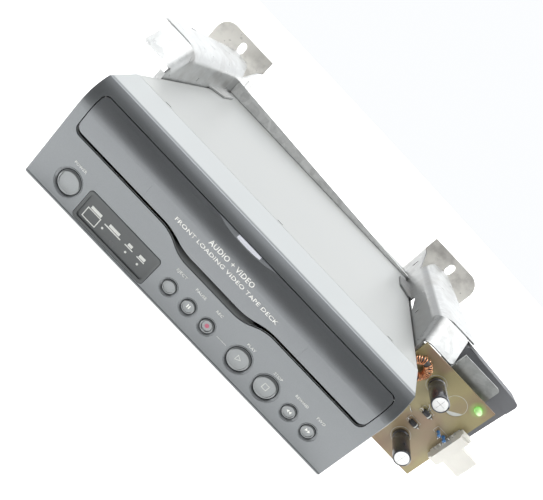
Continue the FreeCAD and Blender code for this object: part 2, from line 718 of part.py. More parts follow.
def pinch_arm():
    low = DECK_TOP + 2
    pivot = tube(PINCH_PIVOT_X, PINCH_PIVOT_Y, low, AXIS_Z, 4.5, 2.06, 6)
    reach = V(PINCH_REACH_X - PINCH_PIVOT_X, PINCH_REACH_Y - PINCH_PIVOT_Y, 0)
    across = V(-reach.y, reach.x, 0) * (3.0 / reach.Length)
    start = V(PINCH_PIVOT_X, PINCH_PIVOT_Y, 0)
    end = start + reach
    blade = prism_z([(p.x, p.y) for p in (start + across, end + across, end - across, start - across)],
                    low + 3, low + 5)
    blade = blade.cut(rod(PINCH_PIVOT_X, PINCH_PIVOT_Y, 0, AXIS_Z, 3.5, 60))
    tip = rod(PINCH_REACH_X, PINCH_REACH_Y, low + 3, AXIS_Z, 3.0, 2)
    pin = rod(PINCH_REACH_X, PINCH_REACH_Y, low + 4, AXIS_Z, 1.5, 22)
    return join([pivot, blade, tip, pin])


def pinch_roller():
    return tube(PINCH_REACH_X, PINCH_REACH_Y, DECK_TOP + 8, AXIS_Z, 6.5, 1.56, 16)


def pivot_posts():
    """Fixed pivots of the pinch arm and of the loading gear."""
    posts = []
    for x, y in ((PINCH_PIVOT_X, PINCH_PIVOT_Y), (CAM_X, CAM_Y)):
        posts.append(rod(x, y, DECK_Z - 1, AXIS_Z, 2.0, 14))
    return posts


CAM_X = -84.0
CAM_Y = 98.0
CAM_TEETH = 44
CAM_Z = DECK_TOP + 6.0


def loading_gear():
    wheel = gear(CAM_X, CAM_Y, CAM_Z, CAM_Z + 4, CAM_TEETH)
    cam = rod(CAM_X, CAM_Y, CAM_Z + 4, AXIS_Z, 14, 2.5)
    track = tube(CAM_X + 2, CAM_Y, CAM_Z + 5, AXIS_Z, 10.5, 8, 5)
    return join([wheel, cam]).cut(track).cut(rod(CAM_X, CAM_Y, 0, AXIS_Z, 2.06, 60))


WORM_RIDGE = 4.2
WORM_Y = CAM_Y + CAM_TEETH * GEAR_MODULE / 2 + 0.85 * GEAR_MODULE + WORM_RIDGE + 0.3
WORM_Z = CAM_Z + 2.0


def loading_motor():
    can = rod(-60, WORM_Y, WORM_Z, AXIS_X, 7.8, 24)
    flats = [box(-61, -35, WORM_Y - 9, WORM_Y + 9, WORM_Z + 7, WORM_Z + 10)]
    boss = rod(-62, WORM_Y, WORM_Z, AXIS_X, 2.5, 2.2)
    return cut_all(can, flats).fuse(boss).cut(rod(-70, WORM_Y, WORM_Z, AXIS_X, 1.05, 30))


def loading_worm():
    shaft = rod(-106, WORM_Y, WORM_Z, AXIS_X, 1.0, 60)
    worm = rod(-98, WORM_Y, WORM_Z, AXIS_X, 3.2, 28)
    ridges = [rod(-97 + index * 3.2, WORM_Y, WORM_Z, AXIS_X, WORM_RIDGE, 1.3) for index in range(8)]
    return join([shaft, worm] + ridges)


def basket_lift():
    """Pair of side plates that carry the basket down on to the reels."""
    plates = []
    for side in (-1, 1):
        x = side * (BASKET_HALF + 8)
        plate = box(x - 0.6, x + 0.6, -96, 40, BASKET_FLOOR + 3, BASKET_ROOF - 2)
        rail = box(min(x, x - side * 6), max(x, x - side * 6), -96, 40, BASKET_FLOOR + 12, BASKET_FLOOR + 13.2)
        plates.append(plate.fuse(rail))
    tie = box(-BASKET_HALF - 8.6, BASKET_HALF + 8.6, 36, 40, BASKET_ROOF - 3, BASKET_ROOF + 3.2)
    lift = join(plates + [tie])
    return lift.cut(box(-BASKET_HALF - 3, BASKET_HALF + 3, 30, 50, 20, BASKET_ROOF + 2))


def cassette_basket():
    """Open carrier that a cassette slides into: two ledges, two walls and a bridged roof."""
    rear = BASKET_FRONT + BASKET_LENGTH
    parts = []
    for side in (-1, 1):
        wall_x = side * BASKET_HALF
        parts.append(box(wall_x - 0.5, wall_x + 0.5, BASKET_FRONT, rear, BASKET_FLOOR, BASKET_ROOF + 0.8))
        edge = side * (BASKET_HALF - 20)
        parts.append(box(min(edge, wall_x), max(edge, wall_x), BASKET_FRONT, rear,
                         BASKET_FLOOR, BASKET_FLOOR + 1))
    parts.append(box(-BASKET_HALF, BASKET_HALF, BASKET_FRONT + 12, rear - 8, BASKET_ROOF, BASKET_ROOF + 0.8))
    basket = join(parts)
    opening = rounded_flat(0, BASKET_FRONT + 52, 120, 50, 8, BASKET_ROOF - 1, BASKET_ROOF + 3)
    return basket.cut(opening)


MAIN_BOARD_POSTS = [(-110, -52), (110, -52), (-110, 132), (110, 132)]


def main_board():
    board = box(-116, 116, -60, 140, 4.4, 6.0)
    posts = [rod(x, y, 0, AXIS_Z, 1.7, 20) for x, y in MAIN_BOARD_POSTS]
    return cut_all(board, posts)


def board_supports():
    return [tube(x, y, PAN_SHEET, AXIS_Z, 3.2, 1.5, 3.2) for x, y in MAIN_BOARD_POSTS]


def front_board():
    return box(-130, 130, FRONT + 14, FRONT + 15.6, 4, 31)


def tact_switches():
    switches = []
    for x in list(LARGE_BUTTONS.values()) + list(SMALL_BUTTONS.values()):
        body = box(x - 3, x + 3, FRONT + 10.9, FRONT + 14, BUTTON_Z - 3, BUTTON_Z + 3)
        plunger = rod(x, FRONT + 10.4, BUTTON_Z, AXIS_Y, 1.6, 0.8)
        switches.append(body.fuse(plunger))
    return switches


def display_lamps():
    lamps = []
    for x in (-75, -53.3, -42.8):
        lamps.append(rod(x, FRONT + 6, 12.2, AXIS_Y, 1.5, 8))
    return lamps


# ---------------------------------------------------------------- mounting brackets
def tilted(shape, y, z):
    """Turns a shape drawn flat at the origin on to the 45 degree nose of the bracket."""
    shape.rotate(V(0, 0, 0), AXIS_X, 45)
    shape.translate(V(0, y, z))
    return shape


def bent_strip(x_in, radius, x_out, z_low, z_top, y0, y1):
    """Upright sheet that bends outwards into a level flange."""
    t = BRACKET_SHEET
    diagonal = math.sqrt(0.5)
    centre = V(x_in + radius, y0, z_top - radius)
    toward = V(-diagonal, 0, diagonal)
    outer = [V(x_in, y0, z_low), V(x_in, y0, z_top - radius), centre + toward * radius,
             V(x_in + radius, y0, z_top), V(x_out, y0, z_top)]
    inner = [V(x_out, y0, z_top - t), V(x_in + radius, y0, z_top - t), centre + toward * (radius - t),
             V(x_in + t, y0, z_top - radius), V(x_in + t, y0, z_low)]
    edges = [line(outer[0], outer[1]), arc(outer[1], outer[2], outer[3]), line(outer[3], outer[4]),
             line(outer[4], inner[0]), line(inner[0], inner[1]), arc(inner[1], inner[2], inner[3]),
             line(inner[3], inner[4]), line(inner[4], outer[0])]
    return wire_prism(edges, V(0, y1 - y0, 0))


def round_tips(strip, edge_x, radius):
    """Rounds the two free corners of a flange."""
    tips = [e for e in strip.Edges if abs(e.CenterOfMass.x - edge_x) < 0.01 and e.Length < 2]
    return strip.makeFillet(radius, tips)


LEG_Y = -65.8
SCREW_SPOTS = [(-48, 68), (-20, 68), (60, 68), (120, 68)]


def bracket(right):
    """Right-hand bracket: web, top flange, sloping nose tab, hook, leg flange and slotted ear."""
    web = prism_x([(LEG_Y, 50), (LEG_Y, 90), (-62.9, 94.6), (-55.6, 87.6), (-36.6, 106.6), (-36.6, 103.4),
                   (112, 103.4), (153, 115.5), (171, 117), (171, 86), (160, 62), (146, 50)],
                  WEB_X, WEB_X + BRACKET_SHEET)
    flange = bent_strip(WEB_X, FLANGE_BEND, FLANGE_EDGE_X, 102, FLANGE_TOP, -42.5, 154.5)
    flange = round_tips(flange, FLANGE_EDGE_X, 4.0)
    rear_cut = prism_z([(WEB_X - 5, 112), (138, 112), (149, 139.5), (168, 155), (WEB_X - 5, 155)], 104.2, 120)
    flange = flange.cut(rear_cut)
    flange = flange.cut(box(WEB_X - 1, 180, 112.5, 160, 100, 104.3))
    nose = round_tips(bent_strip(WEB_X, 9.5, NOSE_EDGE_X, -10.2, 0, 4.3, 31.0), NOSE_EDGE_X, 3.0)
    nose = tilted(nose, -65.5, 92)
    leg = box(WEB_X, WEB_X + 5, LEG_Y, LEG_Y + BRACKET_SHEET, 50, 89.5)
    ear = prism_y([(WEB_X, 84), (211, 84), (211, 133), (WEB_X, 133)], EAR_Y, EAR_Y + BRACKET_SHEET)
    for height, radius in ((133, 18), (84, 8)):
        corner = [e for e in ear.Edges if abs(e.CenterOfMass.x - 211) < 0.01 and e.Length < 2
                  and abs(e.CenterOfMass.z - height) < 0.01]
        ear = ear.makeFillet(radius, corner)
    slot = rounded_front(SLOT_X, SLOT_Z, SLOT_WIDTH, SLOT_HEIGHT, SLOT_WIDTH / 2 - 0.01, EAR_Y - 5, EAR_Y + 5)
    hook = prism_z([(WEB_X + BRACKET_SHEET, 36.5), (122.5, 57), (122.5, 86), (WEB_X + BRACKET_SHEET, 92)],
                   HEIGHT + 0.5, HEIGHT + 0.5 + BRACKET_SHEET)
    shape = join([web, flange, nose, leg, ear, hook]).cut(slot)
    cuts = [rod(100, y, z, AXIS_X, 2.1, 60) for y, z in SCREW_SPOTS]
    cuts.append(rounded_side(143.4, 99.7, 2.4, 9, 1.1, 130, 140))
    cuts.append(rounded_side(1.2, 91.2, 1.4, 4.2, 0.6, 130, 140))
    if right:
        cuts.append(prism_x([(10, 86.2), (43, 86.2), (43, 90), (36, 91.5)], 130, 140))
    shape = cut_all(shape, cuts)
    return shape


def left_bracket():
    return mirrored(bracket(False))


def right_bracket():
    return bracket(True)


def bracket_screws():
    screws = []
    for side in (-1, 1):
        for y, z in SCREW_SPOTS:
            start = WEB_X + BRACKET_SHEET
            head = rod(start, y, z, AXIS_X, 4.0, 2.2)
            rim = [e for e in head.Edges if abs(e.CenterOfMass.x - start - 2.2) < 0.01]
            head = head.makeFillet(1.2, rim)
            shank = rod(HALF, y, z, AXIS_X, 2.0, start - HALF)
            cross = box(start + 1.2, start + 3, y - 0.4, y + 0.4, z - 2, z + 2)
            slot = box(start + 1.2, start + 3, y - 2, y + 2, z - 0.4, z + 0.4)
            screw = join([head, shank]).cut(cross).cut(slot)
            screws.append(screw if side > 0 else mirrored(screw))
    return screws


def cross_brace():
    """Strap between the two webs across the lid; its top edge slopes down to the right."""
    y = 112.0
    low = HEIGHT + 0.4
    half = WEB_X - 0.1
    strap = prism_y([(-half, low), (half, low), (half, 88.4), (-half, 100.3)], y, y + BRACKET_SHEET)
    foot = box(-half, half, y, y + 11, low, low + BRACKET_SHEET)
    left = box(-half, -half + BRACKET_SHEET, y, y + 16, low, 97)
    return join([strap, foot, left])


def flange_bumper():
    """Rubber buffer under the left flange, which stands a little proud of its edge."""
    low = FLANGE_TOP - BRACKET_SHEET - 5
    disc = rod(-163.5, 33, low, AXIS_Z, 15, 5)
    rim = [e for e in disc.Edges if abs(e.CenterOfMass.z - low) < 0.01 and e.Length > 50]
    return disc.makeFillet(1.5, rim)


# ---------------------------------------------------------------- power module on the right bracket
def module_board():
    board = box(BOARD_LEFT, BOARD_RIGHT, BOARD_FRONT, BOARD_FRONT + BOARD_SHEET, BOARD_LOW, BOARD_HIGH)
    holes = [rod(x, BOARD_FRONT - 5, z, AXIS_Y, 1.6, 10) for x, z in BOARD_POSTS]
    return cut_all(board, holes)


BOARD_POSTS = [(146, 15.5), (146, 60)]
BOARD_STUDS = [(206.5, 15.5), (206.5, 80)]
CASE_POSTS = [(175, 84), (194, 84)]


def module_spacers():
    back = BOARD_FRONT + BOARD_SHEET
    length = HEAT_SINK_FRONT - back
    studs = [rod(x, back, z, AXIS_Y, 2.4, length) for x, z in BOARD_STUDS]
    return [tube(x, back, z, AXIS_Y, 3.0, 1.6, length) for x, z in BOARD_POSTS] + studs


def module_screws():
    screws = []
    for x, z in BOARD_POSTS:
        head = rod(x, BOARD_FRONT - 1.8, z, AXIS_Y, 2.9, 1.8)
        shank = rod(x, BOARD_FRONT, z, AXIS_Y, 1.45, 7.5)
        cross = box(x - 0.35, x + 0.35, BOARD_FRONT - 2, BOARD_FRONT - 1, z - 1.8, z + 1.8)
        screws.append(head.fuse(shank).cut(cross))
    for x, z in CASE_POSTS:
        screws.append(rod(x, HEAT_SINK_FRONT - 1.6, z, AXIS_Y, 2.9, 1.6).fuse(
            rod(x, HEAT_SINK_FRONT, z, AXIS_Y, 1.45, 12.5)))
    return screws


def module_heat_sink():
    """Aluminium angle: a plate behind the board and a flange against the bracket's web."""
    plate = box(139.0, 209, HEAT_SINK_FRONT, HEAT_SINK_FRONT + 2, 12, 91)
    tongue = box(NOSE_EDGE_X + 1, 203, HEAT_SINK_FRONT, HEAT_SINK_FRONT + 2, 88, 107.7)
    flange = box(WEB_X + BRACKET_SHEET, 139.2, HEAT_SINK_FRONT, -28, 52, 84)
    sink = join([plate, tongue, flange])
    tips = [e for e in sink.Edges if abs(e.CenterOfMass.z - 107.7) < 0.01 and e.Length < 2.5
            and e.CenterOfMass.x > 200]
    sink = sink.makeFillet(2.5, tips)
    sink = sink.cut(rod(130, SCREW_SPOTS[0][0], SCREW_SPOTS[0][1], AXIS_X, 4.4, 20))
    holes = [rod(x, HEAT_SINK_FRONT - 5, z, AXIS_Y, 1.5, 10) for x, z in BOARD_POSTS]
    holes += [rod(x, HEAT_SINK_FRONT - 5, z, AXIS_Y, 1.5, 10) for x, z in CASE_POSTS]
    return cut_all(sink, holes)


def module_case():
    """Dark rear half of the module's case, a shallow pan whose top band is set forward."""
    block = prism_y([(166.5, 46), (226.0, 46), (227.6, 108), (166.5, 111.7)], CASE_FRONT, CASE_FRONT + 16)
    upright = [e for e in block.Edges if abs(e.Length - 16) < 0.01]
    block = block.makeFillet(3.5, upright)
    hollow = prism_y([(168.7, 48.2), (223.8, 48.2), (225.4, 105.9), (168.7, 109.3)], CASE_FRONT + 2.2,
                     CASE_FRONT + 20)
    shell = block.cut(hollow)
    step = box(140, 240, CASE_FRONT - 1, CASE_FRONT + 0.9, 40, 96.6)
    shell = shell.cut(step)
    holes = [rod(x, CASE_FRONT - 5, z, AXIS_Y, 1.5, 10) for x, z in CASE_POSTS]
    return cut_all(shell, holes)


def case_spacers():
    back = HEAT_SINK_FRONT + 2
    length = CASE_FRONT + 0.9 - back
    return [tube(x, back, z, AXIS_Y, 3.0, 1.6, length) for x, z in CASE_POSTS]


def capacitors():
    cans = []
    for x, z in ((167.3, 77.7), (183.1, 29.2)):
        can = rod(x, BOARD_FRONT - 30, z, AXIS_Y, 6.5, 29.7)
        ends = [e for e in can.Edges if e.Length > 30]
        can = can.makeFillet(0.6, ends)
        waist = tube(x, BOARD_FRONT - 5.2, z, AXIS_Y, 8, 6.1, 1.2)
        leads = [rod(x + side * 2.5, BOARD_FRONT - 1, z, AXIS_Y, 0.4, 1.0) for side in (-1, 1)]
        cans.append(join([can.cut(waist)] + leads))
    return cans


def choke_coil():
    """Toroidal choke standing against the board."""
    ring = Part.makeTorus(6.6, 3.6, V(147.3, BOARD_FRONT - 5.2, 78.0), AXIS_Y)
    lead = box(146, 148.6, BOARD_FRONT - 3, BOARD_FRONT, 83, 86)
    return ring.fuse(lead)


def module_lamp():
    lamp = rod(201.3, BOARD_FRONT - 3.5, 87.3, AXIS_Y, 2.5, 3.5)
    dome = Part.makeSphere(2.5, V(201.3, BOARD_FRONT - 3.5, 87.3))
    rim = rod(201.3, BOARD_FRONT - 1, 87.3, AXIS_Y, 2.9, 1)
    return join([lamp, dome, rim])


def module_resistors():
    parts = []
    for x in (196.5, 202.0):
        body = rod(x, BOARD_FRONT - 8.5, 54, AXIS_Y, 1.4, 7)
        lead = rod(x, BOARD_FRONT - 10, 54, AXIS_Y, 0.35, 10)
        parts.append(body.fuse(lead))
    return parts


def module_diodes():
    parts = []
    for x, z in ((180, 57.5), (180, 44.5)):
        body = rod(x - 3.5, BOARD_FRONT - 3, z, AXIS_X, 2.1, 7)
        leads = [box(x + side * 6 - 0.5, x + side * 6 + 0.5, BOARD_FRONT - 3.5, BOARD_FRONT, z - 0.5, z + 0.5)
                 for side in (-1, 1)]
        bar = box(x - 6, x + 6, BOARD_FRONT - 3.4, BOARD_FRONT - 2.6, z - 0.4, z + 0.4)
        parts.append(join([body, bar] + leads))
    return parts


def link_socket():
    """Right-angle header with a latch ear at each end."""
    y = BOARD_FRONT
    body = box(205.5, 213.5, y - 10, y, SOCKET_Z - 14, SOCKET_Z + 14)
    body = body.cut(box(207.5, 215, y - 8.5, y - 1.5, SOCKET_Z - 11, SOCKET_Z + 11))
    ears = []
    for side in (-1, 1):
        z = SOCKET_Z + side * 15.2
        arm = box(205.5, 214, y - 8, y - 2, z - 1.4, z + 1.4)
        hook = box(211.6, 214, y - 8, y - 2, min(z, z - side * 4), max(z, z - side * 4))
        ears.append(arm.fuse(hook))
    pins = [box(203.5, 206, y - 4.6, y - 3.9, SOCKET_Z - 8.2 + i * 4, SOCKET_Z - 7.5 + i * 4) for i in range(5)]
    return join([body] + ears + pins)


def link_plug():
    """Plug pushed into the header, with five wire mouths in its outer end."""
    y = BOARD_FRONT
    body = box(208, 230.5, y - 8.2, y - 1.8, SOCKET_Z - 10.7, SOCKET_Z + 7.6)
    mouths = [rod(224, y - 5, SOCKET_Z - 8.2 + i * 3.6, AXIS_X, 1.1, 10) for i in range(5)]
    return cut_all(body, mouths)


# ---------------------------------------------------------------- output
def all_parts():
    parts = {
        "front_bezel": front_bezel(),
        "cassette_door": cassette_door(),
        "door_tab": door_tab(),
        "door_hinge_rod": door_hinge_rod(),
        "door_spring": door_spring(),
        "display_lens": display_lens(),
        "bottom_pan": bottom_pan(),
        "top_cover": top_cover(),
        "rear_panel": drill_rear_panel(rear_panel()),
        "small_screws": case_screws() + module_screws(),
        "rear_sockets": av_jacks() + [dc_inlet()],
        "side_frames": side_frames(),
        "deck_plate": deck_plate(),
        "supply_guide": tape_guide(-1),
        "takeup_guide": tape_guide(1),
        "drum_base": drum_base(),
        "head_drum": head_drum(),
        "drum_shaft": drum_shaft(),
        "capstan_shaft": capstan_shaft(),
        "capstan_flywheel": capstan_flywheel(),
        "drive_clutch": drive_clutch(),
        "drive_belt": drive_belt(),
        "idler_arm": idler_arm(),
        "idler_gear": idler_gear(),
        "supply_reel_table": reel_table(-1),
        "takeup_reel_table": reel_table(1),
        "deck_posts": reel_spindles() + pivot_posts() + [capstan_bearing()],
        "pinch_arm": pinch_arm(),
        "pinch_roller": pinch_roller(),
        "loading_gear": loading_gear(),
        "loading_worm": loading_worm(),
        "loading_motor": loading_motor(),
        "basket_lift": basket_lift(),
        "cassette_basket": cassette_basket(),
        "main_board": main_board(),
        "front_board": [front_board()] + display_lamps(),
        "tact_switches": tact_switches(),
        "left_bracket": left_bracket(),
        "right_bracket": right_bracket(),
        "bracket_screws": bracket_screws(),
        "cross_brace": cross_brace(),
        "flange_bumper": flange_bumper(),
        "module_board": module_board(),
        "board_spacers": board_supports() + module_spacers() + case_spacers(),
        "module_heat_sink": module_heat_sink(),
        "module_case": module_case(),
        "capacitors": capacitors(),
        "choke_coil": choke_coil(),
        "module_lamp": module_lamp(),
        "module_components": module_resistors() + module_diodes(),
        "link_socket": link_socket(),
        "link_plug": link_plug(),
    }
    for name, x in LARGE_BUTTONS.items():
        parts[name] = push_button(x, LARGE_RING)
    for name, x in SMALL_BUTTONS.items():
        maker = record_button if name == "record_button" else push_button
        parts[name] = maker(x, SMALL_RING)
    return parts


def main():
    os.makedirs("parts", exist_ok=True)
    for name, shape in all_parts().items():
        if isinstance(shape, list):
            shape = Part.makeCompound(shape)
        shape.exportStep(os.path.join("parts", name + ".step"))
        low = shape.BoundBox
        print("%-20s solids %d valid %s  x %.1f %.1f  y %.1f %.1f  z %.1f %.1f" % (
            name, len(shape.Solids), shape.isValid(), low.XMin, low.XMax, low.YMin, low.YMax, low.ZMin,
            low.ZMax))


main()
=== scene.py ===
# %% [markdown]
# # A recorder in its brackets
# The recorder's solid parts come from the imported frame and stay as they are. This script gives them
# their finishes and adds what is too fine or too soft in outline for the frame: printed words and
# symbols, wound wire, turned capacitor cans, leads, solder and coloured socket rings.
# Lengths here are written in millimetres and turned to metres by one factor, MM.

# %% Load the frame
import math
import random

import bpy
from mathutils import Matrix, Vector


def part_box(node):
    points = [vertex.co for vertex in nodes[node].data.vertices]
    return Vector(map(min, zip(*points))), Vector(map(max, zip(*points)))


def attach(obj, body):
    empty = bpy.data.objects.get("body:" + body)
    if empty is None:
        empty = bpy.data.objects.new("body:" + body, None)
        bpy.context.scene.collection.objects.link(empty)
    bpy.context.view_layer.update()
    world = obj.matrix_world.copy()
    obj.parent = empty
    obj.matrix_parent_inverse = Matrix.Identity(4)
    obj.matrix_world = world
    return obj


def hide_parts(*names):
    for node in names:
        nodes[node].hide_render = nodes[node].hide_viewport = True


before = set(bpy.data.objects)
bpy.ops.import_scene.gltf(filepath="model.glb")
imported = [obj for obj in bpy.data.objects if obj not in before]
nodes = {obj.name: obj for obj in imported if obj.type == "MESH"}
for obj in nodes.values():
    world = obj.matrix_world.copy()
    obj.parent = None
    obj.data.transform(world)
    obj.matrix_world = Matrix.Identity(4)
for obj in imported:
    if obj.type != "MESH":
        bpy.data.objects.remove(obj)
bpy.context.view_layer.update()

MM = 0.001

# %% [markdown]
# ## Places
# Some positions below are worked out from the frame's own boxes, so a piece placed by them still fits when a
# dimension of the frame changes; the others are given in millimetres. The front of the casing, the face of
# the board and the middle of each key are the places that these are measured from.

# %% Read the places from the frame
def middle(node):
    low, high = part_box(node)
    return (low + high) / 2


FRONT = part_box("cassette_door")[0].y
BOARD_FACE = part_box("module_board")[0].y
KEY_Z = middle("play_button").z
print("front at", round(FRONT / MM, 2), "board face at", round(BOARD_FACE / MM, 2),
      "keys at", round(KEY_Z / MM, 2))

# %% [markdown]
# ## Camera
# The recorder is seen from in front and a little above, by a camera that is held turned on its side
# by nearly half a right angle. A camera's turn is built up in the order a hand would do it: turn to
# the side, tip down, then roll about the line of sight.

# %% Set up the camera
camera_data = bpy.data.cameras.new("camera")
camera = bpy.data.objects.new("camera", camera_data)
bpy.context.scene.collection.objects.link(camera)
CAMERA_PLACE = Vector((0.7, -444.5, 177.6)) * MM
TURN, TIP, ROLL = (math.radians(angle) for angle in (-1.48, -17.79, 46.96))
camera.matrix_world = (Matrix.Translation(CAMERA_PLACE) @ Matrix.Rotation(TURN, 4, "Z")
                       @ Matrix.Rotation(math.pi / 2 + TIP, 4, "X") @ Matrix.Rotation(ROLL, 4, "Z"))
camera_data.lens = 35.1
camera_data.sensor_width = 36.0
camera_data.clip_start = 0.01
bpy.context.scene.camera = camera
print("camera", [round(v, 4) for v in camera.location], "lens", camera_data.lens)

# %% [markdown]
# ## Studio
# Glossy grey paint shows its surroundings more than its own colour. The lower front mirrors the pale
# floor, the brow above it mirrors the dim air in front, and the lid mirrors the bright wall behind.
# So the light comes from overhead and behind, and the sky is bright behind and dim in front.

# %% Floor, sky and soft boxes
bpy.context.scene.view_settings.view_transform = "Standard"
bpy.ops.object.select_all(action="DESELECT")
bpy.ops.mesh.primitive_circle_add(vertices=96, radius=6.0, fill_type="NGON", location=(0, 0, 0))
floor = bpy.context.active_object
floor.name = "floor"
floor.location = (-1.5, 5.387, -0.0002)
floor_paint = bpy.data.materials.new("floor_paper")
floor_paint.use_nodes = True
floor_paint.node_tree.nodes["Principled BSDF"].inputs["Base Color"].default_value = (0.90, 0.90, 0.89, 1)
floor_paint.node_tree.nodes["Principled BSDF"].inputs["Roughness"].default_value = 0.9
floor_paint.node_tree.nodes["Principled BSDF"].inputs["Emission Color"].default_value = (1, 1, 1, 1)
floor_paint.node_tree.nodes["Principled BSDF"].inputs["Emission Strength"].default_value = 0.72
floor.data.materials.append(floor_paint)


def soft_box(name, place, target, width, height, power):
    light = bpy.data.lights.new(name, "AREA")
    light.shape = "RECTANGLE"
    light.size = width
    light.size_y = height
    light.energy = power
    lamp = bpy.data.objects.new(name, light)
    bpy.context.scene.collection.objects.link(lamp)
    lamp.location = place
    lamp.rotation_euler = (Vector(target) - Vector(place)).to_track_quat("-Z", "Y").to_euler()
    return lamp


soft_box("overhead", (0.0, 0.42, 2.2), (0.0, 0.0, 0.0), 3.2, 1.6, 32)
front_fill = soft_box("front_fill", (0.5, -1.5, 0.9), (0.05, 0.0, 0.05), 1.4, 1.0, 13)
front_fill.visible_glossy = False

world = bpy.data.worlds.new("studio")
bpy.context.scene.world = world
world.use_nodes = True


def sky(tree):
    """Sky that is bright overhead and behind, dim in front, and plain white to the eye."""
    nodes_, links = tree.nodes, tree.links
    background = nodes_["Background"]
    where = nodes_.new("ShaderNodeTexCoord")
    split = nodes_.new("ShaderNodeSeparateXYZ")
    links.new(where.outputs["Generated"], split.inputs[0])
    ramp = nodes_.new("ShaderNodeMapRange")
    ramp.interpolation_type = "SMOOTHSTEP"
    ramp.inputs["From Min"].default_value = -0.35
    ramp.inputs["From Max"].default_value = 0.55
    ramp.inputs["To Min"].default_value = 0.14
    ramp.inputs["To Max"].default_value = 1.45
    links.new(split.outputs["Y"], ramp.inputs["Value"])
    crown = nodes_.new("ShaderNodeMapRange")
    crown.interpolation_type = "SMOOTHSTEP"
    crown.inputs["From Min"].default_value = 0.80
    crown.inputs["From Max"].default_value = 1.0
    crown.inputs["To Min"].default_value = 0.0
    crown.inputs["To Max"].default_value = 2.0
    links.new(split.outputs["Z"], crown.inputs["Value"])
    both = nodes_.new("ShaderNodeMath")
    links.new(ramp.outputs["Result"], both.inputs[0])
    links.new(crown.outputs["Result"], both.inputs[1])
    path = nodes_.new("ShaderNodeLightPath")
    pick = nodes_.new("ShaderNodeMix")
    links.new(path.outputs["Is Camera Ray"], pick.inputs[0])
    links.new(both.outputs[0], pick.inputs[2])
    pick.inputs[3].default_value = 1.0
    links.new(pick.outputs[0], background.inputs["Strength"])
    background.inputs["Color"].default_value = (0.97, 0.985, 1.0, 1)


sky(world.node_tree)
print("studio: floor, sky and two soft lights")

# %% [markdown]
# ## How the finishes are written
# A finish is a network of small nodes. To keep one readable, two classes stand in for the mouse: a
# Level is a number that changes over the surface, and + - * / on it add Math nodes; a Finish holds
# one material, and its node() adds any other kind of node.

# %% Helpers for finishes
class Level:
    """A number that changes over a surface. The usual signs on it add Math nodes."""

    def __init__(self, finish, socket):
        self.finish = finish
        self.socket = socket

    def math(self, operation, first, second=0.0, clamp=False):
        return self.finish.node("ShaderNodeMath", {"operation": operation, "use_clamp": clamp},
                                {0: first, 1: second})

    def __add__(self, other):
        return self.math("ADD", self, other)

    def __sub__(self, other):
        return self.math("SUBTRACT", self, other)

    def __mul__(self, other):
        return self.math("MULTIPLY", self, other)

    def __truediv__(self, other):
        return self.math("DIVIDE", self, other)

    def __rsub__(self, other):
        return self.math("SUBTRACT", other, self)

    __radd__ = __add__
    __rmul__ = __mul__

    def clamp(self):
        return self.math("ADD", self, 0.0, clamp=True)

    def above(self, edge, blur):
        """0 below an edge and 1 above it, with a ramp that is blur wide."""
        return ((self - edge) / blur + 0.5).clamp()

    def between(self, low, high, blur):
        return self.above(low, blur) * (1 - self.above(high, blur))


class Finish:
    """One material: its shader's constants, and the nodes that vary over the surface."""

    def __init__(self, name, **constants):
        self.material = bpy.data.materials.new(name)
        self.material.use_nodes = True
        self.tree = self.material.node_tree
        self.shader = self.tree.nodes["Principled BSDF"]
        for word, value in constants.items():
            self.shader.inputs[word.replace("_", " ")].default_value = value

    def node(self, kind, settings=None, sockets=None, output=0):
        node = self.tree.nodes.new(kind)
        for word, value in (settings or {}).items():
            if word == "stops":
                self._set_stops(node.color_ramp, value)
            else:
                setattr(node, word, value)
        for key, value in (sockets or {}).items():
            if isinstance(value, Level):
                self.tree.links.new(value.socket, node.inputs[key])
            else:
                node.inputs[key].default_value = value
        return Level(self, node.outputs[output])

    def _set_stops(self, ramp, stops):
        while len(ramp.elements) < len(stops):
            ramp.elements.new(1.0)
        for element, (place, colour) in zip(ramp.elements, stops):
            element.position = place
            element.color = (*colour, 1)

    def place(self, stretch=(1, 1, 1), turn=(0, 0, 0), shift=(0, 0, 0)):
        """Object coordinates, in metres, stretched, turned and shifted."""
        where = self.node("ShaderNodeTexCoord", output=3)
        return self.node("ShaderNodeMapping", {"vector_type": "TEXTURE"},
                         {0: where, 1: shift, 2: turn, 3: stretch})

    def axis(self, letter):
        where = self.node("ShaderNodeTexCoord", output=3)
        return self.node("ShaderNodeSeparateXYZ", None, {0: where}, output="XYZ".index(letter))

    def noise(self, size, detail=2.0, roughness=0.5, **place):
        """Cloudy noise whose patches are about size wide, from 0 to 1."""
        return self.node("ShaderNodeTexNoise", None,
                         {"Vector": self.place(**place), "Scale": 1 / size, "Detail": detail,
                          "Roughness": roughness})

    def cells(self, size, feature="F1", output=1, **place):
        """Crystal cells about size wide. Output 1 is a colour of its own for each cell."""
        return self.node("ShaderNodeTexVoronoi", {"feature": feature},
                         {"Vector": self.place(**place), "Scale": 1 / size}, output=output)

    def mix(self, share, first, second):
        return self.node("ShaderNodeMix", {"data_type": "RGBA"}, {0: share, 6: first, 7: second}, output=2)

    def far_from(self, x, y):
        """Distance from an upright line through a point, in metres."""
        dx = self.axis("X") - x
        dy = self.axis("Y") - y
        return dx.math("SQRT", dx * dx + dy * dy)

    def feed(self, socket, level):
        self.tree.links.new(level.socket, self.shader.inputs[socket])

    def bump(self, height, depth, strength=1.0):
        level = self.node("ShaderNodeBump", None, {"Height": height, "Distance": depth, "Strength": strength})
        self.feed("Normal", level)


def colour(red, green, blue):
    return (red, green, blue, 1)


def put(finish, *names):
    """Gives the finish to frame nodes, in every slot that their mesh has."""
    for name in names:
        mesh = nodes[name].data
        if not mesh.materials:
            mesh.materials.append(finish.material)
        for index in range(len(mesh.materials)):
            mesh.materials[index] = finish.material
    print(finish.material.name, "on", len(names), "nodes")


